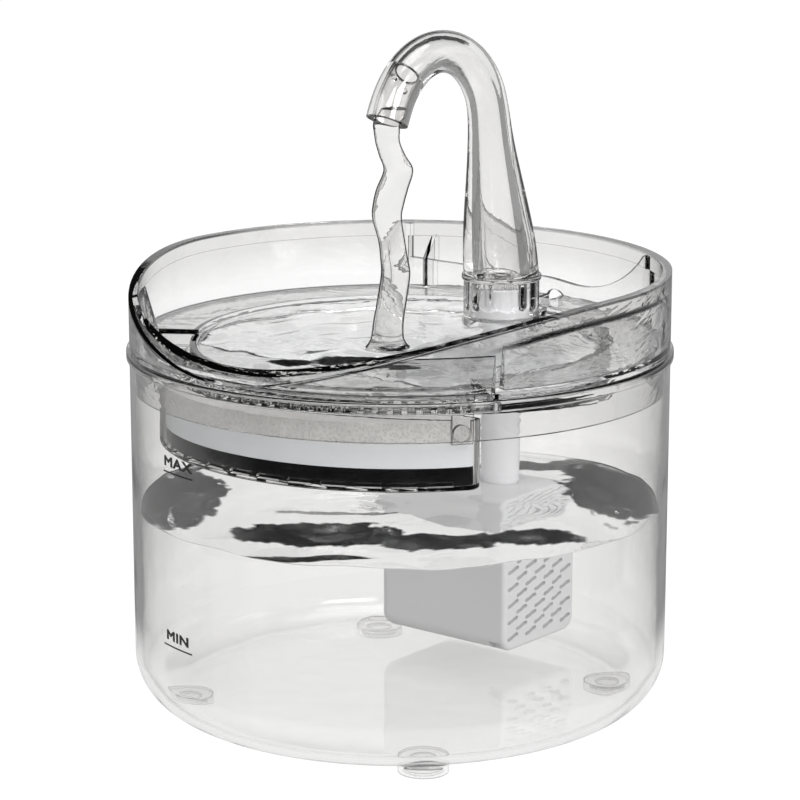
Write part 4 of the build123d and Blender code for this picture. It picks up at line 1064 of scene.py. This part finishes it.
# ---- water
def water_faces(obj, level, surface, swells):
    """Gives free surface and body of a water their finishes, and the steep swells their tilt and the mask of their
    painted reflection.
    """
    mesh = obj.data
    mesh.materials.clear()
    mesh.materials.append(MATERIALS[surface])
    mesh.materials.append(MATERIALS["water_body"])
    mesh.validate()
    mask = mesh.attributes.new("swell", "FLOAT", "POINT")
    tilted = {}
    nearer = Vector((math.sin(ACROSS), -math.cos(ACROSS), 0.0))
    for vertex in mesh.vertices:
        if vertex.co.z > level - SURFACE_REACH:
            inside, tilt = swell(vertex.co.x, vertex.co.y, swells)
            mask.data[vertex.index].value = inside
            tilted[vertex.index] = (vertex.normal + nearer * math.tan(tilt * min(1.0, inside))).normalized()
    normals = [Vector((0.0, 0.0, 0.0))] * len(mesh.loops)
    for face in mesh.polygons:
        free = face.normal.z > 0.5 and face.center.z > level - SURFACE_REACH
        face.material_index = 0 if free else 1
        if free:
            for loop in face.loop_indices:
                normals[loop] = tilted.get(mesh.loops[loop].vertex_index, normals[loop])
    mesh.normals_split_custom_set(normals)


class Rippled:
    """What both waters share: centres of rings (place, height, wavelength, reach), trains of waves
    (direction, height, wavelength, phase) and swells, as ripples() and swell() take them."""

    def top_rings(self, radius, level):
        """Points of a profile from the wall to the axis, at the water's level."""
        return [(radius * (1 - step / self.rings), level) for step in range(self.rings + 1)]

    def surface_rise(self, angle, r, height):
        return height * ripples(r * math.cos(angle), r * math.sin(angle), self.centres, self.waves)


class FOUNTAIN_OT_tank_water(Rippled, bpy.types.Operator):
    """Water in the tank, with a rippled surface"""
    bl_idname = "fountain.tank_water"
    bl_label = "Water in the tank"

    centres = ((-0.004, -0.0187, 0.45, 0.0072, 0.012), (0.045, 0.02, 0.25, 0.018, 0.035),
               (-0.05, 0.03, 0.25, 0.022, 0.04))
    waves = ((0.4, 0.42, 0.046, 0.3), (1.5, 0.38, 0.033, 1.7), (2.5, 0.30, 0.027, 0.9), (0.95, 0.22, 0.019, 2.6))
    swells = ((-25, -46, 30, 15, 19, 1.0), (10, -55, 24, 9, 19, 1.0), (44, -50, 18, 8, 19, 1.0),
              (-28, -74, 22, 3.4, 21, 1.0), (-78, 2, 18, 44, 17, 0.92), (76, 20, 19, 52, 17, 0.92),
              (52, 56, 24, 9, 15, 0.8), (-22, -18, 20, 2.5, 16, 0.7))
    climb = (1.3 * MM, 1.6 * MM)  # how high the water climbs the wall, and how far off it that fades
    rings = 130
    segments = 256

    def execute(self, context):
        wanted = context.scene.fountain_water
        gap = wanted.wall_gap
        radius, low = TANK_RADIUS - TANK_WALL - gap, TANK_BOTTOM + TANK_FLOOR + gap
        flat, corner_radius = TANK_RADIUS - TANK_CORNER, TANK_CORNER - TANK_WALL - gap
        profile = [(0, low), (flat * 0.5, low)] + arc(flat, low + corner_radius, corner_radius, -90, 0, 14)
        profile += [(radius, 0.6 * wanted.tank_level)]
        top = len(profile)
        profile += self.top_rings(radius, wanted.tank_level)

        def lift(index, angle, r, z):
            if index >= top:
                z += self.surface_rise(angle, r, wanted.tank_ripple)
                z += self.climb[0] * math.exp(-(radius - r) / self.climb[1])
            return r, z

        water = lathe("tank_water", profile, self.segments, lift)
        water_faces(water, wanted.tank_level, "tank_surface", self.swells)
        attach(water, "root")
        return {"FINISHED"}


class FOUNTAIN_OT_pool_water(Rippled, bpy.types.Operator):
    """Water in the drinking pool, with rings round the place where the stream lands"""
    bl_idname = "fountain.pool_water"
    bl_label = "Water in the pool"

    centres = ((0.002, -0.008, 0.9, 0.013, 0.030), (-0.03, -0.035, 0.35, 0.012, 0.02),
               (0.03, 0.03, 0.3, 0.016, 0.03))
    waves = ((0.9, 0.45, 0.030, 0.2), (2.1, 0.35, 0.021, 1.1), (2.9, 0.28, 0.017, 2.2), (0.2, 0.22, 0.013, 0.6))
    swells = ((-36, -33, 8, 5, 15, 1.0), (-15, -31, 15, 8, 15, 1.0), (0, -37, 9, 4, 13, 0.9),
              (-28, -17, 5, 2.2, 14, 0.8), (8, -12, 9, 2, 12, 0.6), (-8, 6, 12, 1.6, 12, 0.5))
    climb = (0.4 * MM, 1.5 * MM)
    rings = 100
    segments = 208
    bottom_rings = (0.3, 0.6, 0.9, 0.945, 0.96, 0.975, 0.985, 0.993, 1.0)
    pool_radius = 70 * MM
    floor_middle = 119.8 * MM
    floor_slope = 0.0686
    floor_corner = 4 * MM
    pedestal_radius = 13.7 * MM
    web_half = 11.7 * MM
    web_back = 80 * MM
    cut_low, cut_high = 0.10, 0.15

    def execute(self, context):
        wanted = context.scene.fountain_water
        radius = self.pool_radius - wanted.wall_gap
        profile = [(0, 0.0)] + [(radius * part, 0.0) for part in self.bottom_rings]
        top = len(profile)
        profile += self.top_rings(radius, wanted.pool_level)

        def lift(index, angle, r, z):
            if index < top:
                past = max(0.0, r - (self.pool_radius - self.floor_corner))
                climb = self.floor_corner - math.sqrt(max(0.0, self.floor_corner ** 2 - past ** 2))
                return r, self.floor_middle - self.floor_slope * r * math.sin(angle) + wanted.wall_gap + climb
            z += self.surface_rise(angle, r, wanted.pool_ripple)
            return r, z + self.climb[0] * math.exp(-(radius - r) / self.climb[1])

        water = lathe("pool_water", profile, self.segments, lift)
        low, high, wide = self.cut_low, self.cut_high, self.pedestal_radius
        column = lathe("pedestal_cutter", [(0, low), (wide, low), (wide, high), (0, high)], 64)
        column.data.transform(Matrix.Translation((0, RISER_Y, 0)))
        outline = [(-self.web_half, RISER_Y), (self.web_half, RISER_Y),
                   (self.web_half, self.web_back), (-self.web_half, self.web_back)]
        carve(water, column, prism("web_cutter", outline, low, high, 2))
        smooth(water.data)
        water_faces(water, wanted.pool_level, "pool_surface", self.swells)
        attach(water, "tray")
        return {"FINISHED"}


class FOUNTAIN_OT_stream(bpy.types.Operator):
    """Stream that falls from the spout's mouth into the pool"""
    bl_idname = "fountain.stream"
    bl_label = "Falling stream"

    # height, swing to the side and width of the stream, in millimetres
    course = (
        (209.2, 1.3, 8.6), (207.0, 0.5, 9.0), (205.0, -0.1, 9.2), (201.5, 0.1, 8.8), (197.8, 0.5, 8.6),
        (193.5, 2.0, 9.2), (188.7, 3.9, 10.1), (182.3, 1.9, 10.7), (177.2, 0.7, 10.4), (172.4, 0.2, 9.9),
        (164.5, 1.7, 9.1), (158.3, 2.5, 9.6), (153.2, 3.0, 10.3), (145.3, 2.0, 10.4), (136.9, 0.7, 10.5),
        (131.5, 0.3, 11.0), (129.3, 0.2, 12.6), (127.6, 0.2, 15.0),
    )
    middle_y = -7.2
    lean_from = 203.5  # heights from which the stream leans back into the spout, and is plain round
    round_from = 201
    sides = 48
    rings = 150

    def execute(self, context):
        vertices, faces = [], []
        for ring in range(self.rings + 1):
            height, swing, width = self.at(ring / self.rings)
            lean = 1.1 * max(0.0, height - self.lean_from) / 4
            x = swing * math.cos(ACROSS) * MM
            y = (self.middle_y + swing * math.sin(ACROSS) + lean) * MM
            for step in range(self.sides):
                angle = TURN * step / self.sides
                wobble = 1 + 0.025 * math.sin(2 * angle + ring * 0.09) + 0.012 * math.sin(3 * angle - ring * 0.13)
                radius = width / 2 * MM * (1.0 if height > self.round_from else wobble)
                vertices.append((x + radius * math.cos(angle), y + radius * math.sin(angle), height * MM))
        for ring in range(self.rings):
            a, b = ring * self.sides, (ring + 1) * self.sides
            for step in range(self.sides):
                after = (step + 1) % self.sides
                faces.append((a + step, b + step, b + after, a + after))
        faces.append(tuple(range(self.sides)))
        faces.append(tuple(range(self.rings * self.sides, (self.rings + 1) * self.sides))[::-1])
        stream = mesh_object("falling_stream", vertices, faces, sharp=60)
        turn_outwards(stream)
        stream.data.materials.append(MATERIALS["stream"])
        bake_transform(stream)
        return {"FINISHED"}

    def at(self, part):
        """Height, swing and width at a part of the course, on a smooth curve through its points."""
        place = part * (len(self.course) - 1)
        first = min(int(place), len(self.course) - 2)
        t = place - first
        around = [self.course[min(max(first + step, 0), len(self.course) - 1)] for step in (-1, 0, 1, 2)]
        return [0.5 * (2 * b + (c - a) * t + (2 * a - 5 * b + 4 * c - d) * t * t + (3 * b - a - 3 * c + d) * t ** 3)
                for a, b, c, d in zip(*around)]


# ---- panel, registration and the run
OPERATORS = (
    FOUNTAIN_OT_stage, FOUNTAIN_OT_tank, FOUNTAIN_OT_level_marks, FOUNTAIN_OT_tray, FOUNTAIN_OT_filter,
    FOUNTAIN_OT_pump, FOUNTAIN_OT_motor, FOUNTAIN_OT_tank_water, FOUNTAIN_OT_pool_water, FOUNTAIN_OT_stream,
)
SETTINGS = {
    "fountain_stage": FountainStageSettings, "fountain_clear": FountainClearSettings,
    "fountain_marks": FountainMarksSettings, "fountain_water": FountainWaterSettings,
    "fountain_filter": FountainFilterSettings, "fountain_pump": FountainPumpSettings,
}


class FOUNTAIN_PT_panel(bpy.types.Panel):
    """Lists the fountain's pieces and their sizes"""
    bl_idname = "FOUNTAIN_PT_panel"
    bl_label = "Pet Water Fountain"
    bl_space_type = "VIEW_3D"
    bl_region_type = "UI"
    bl_category = "Fountain"

    def draw(self, context):
        for name, group in SETTINGS.items():
            box = self.layout.box()
            box.label(text=name.replace("_", " ").capitalize())
            for key in group.__annotations__:
                box.prop(getattr(context.scene, name), key)
        for operator in OPERATORS:
            self.layout.operator(operator.bl_idname)


def register():
    for name, group in SETTINGS.items():
        bpy.utils.register_class(group)
        setattr(bpy.types.Scene, name, PointerProperty(type=group))
    for operator in OPERATORS:
        bpy.utils.register_class(operator)
    bpy.utils.register_class(FOUNTAIN_PT_panel)


def unregister():
    bpy.utils.unregister_class(FOUNTAIN_PT_panel)
    for operator in reversed(OPERATORS):
        bpy.utils.unregister_class(operator)
    for name, group in SETTINGS.items():
        delattr(bpy.types.Scene, name)
        bpy.utils.unregister_class(group)


def main():
    register()
    build_materials(bpy.context.scene)
    for operator in OPERATORS:
        group, name = operator.bl_idname.split(".")
        getattr(getattr(bpy.ops, group), name)()


if __name__ == "__main__":
    main()
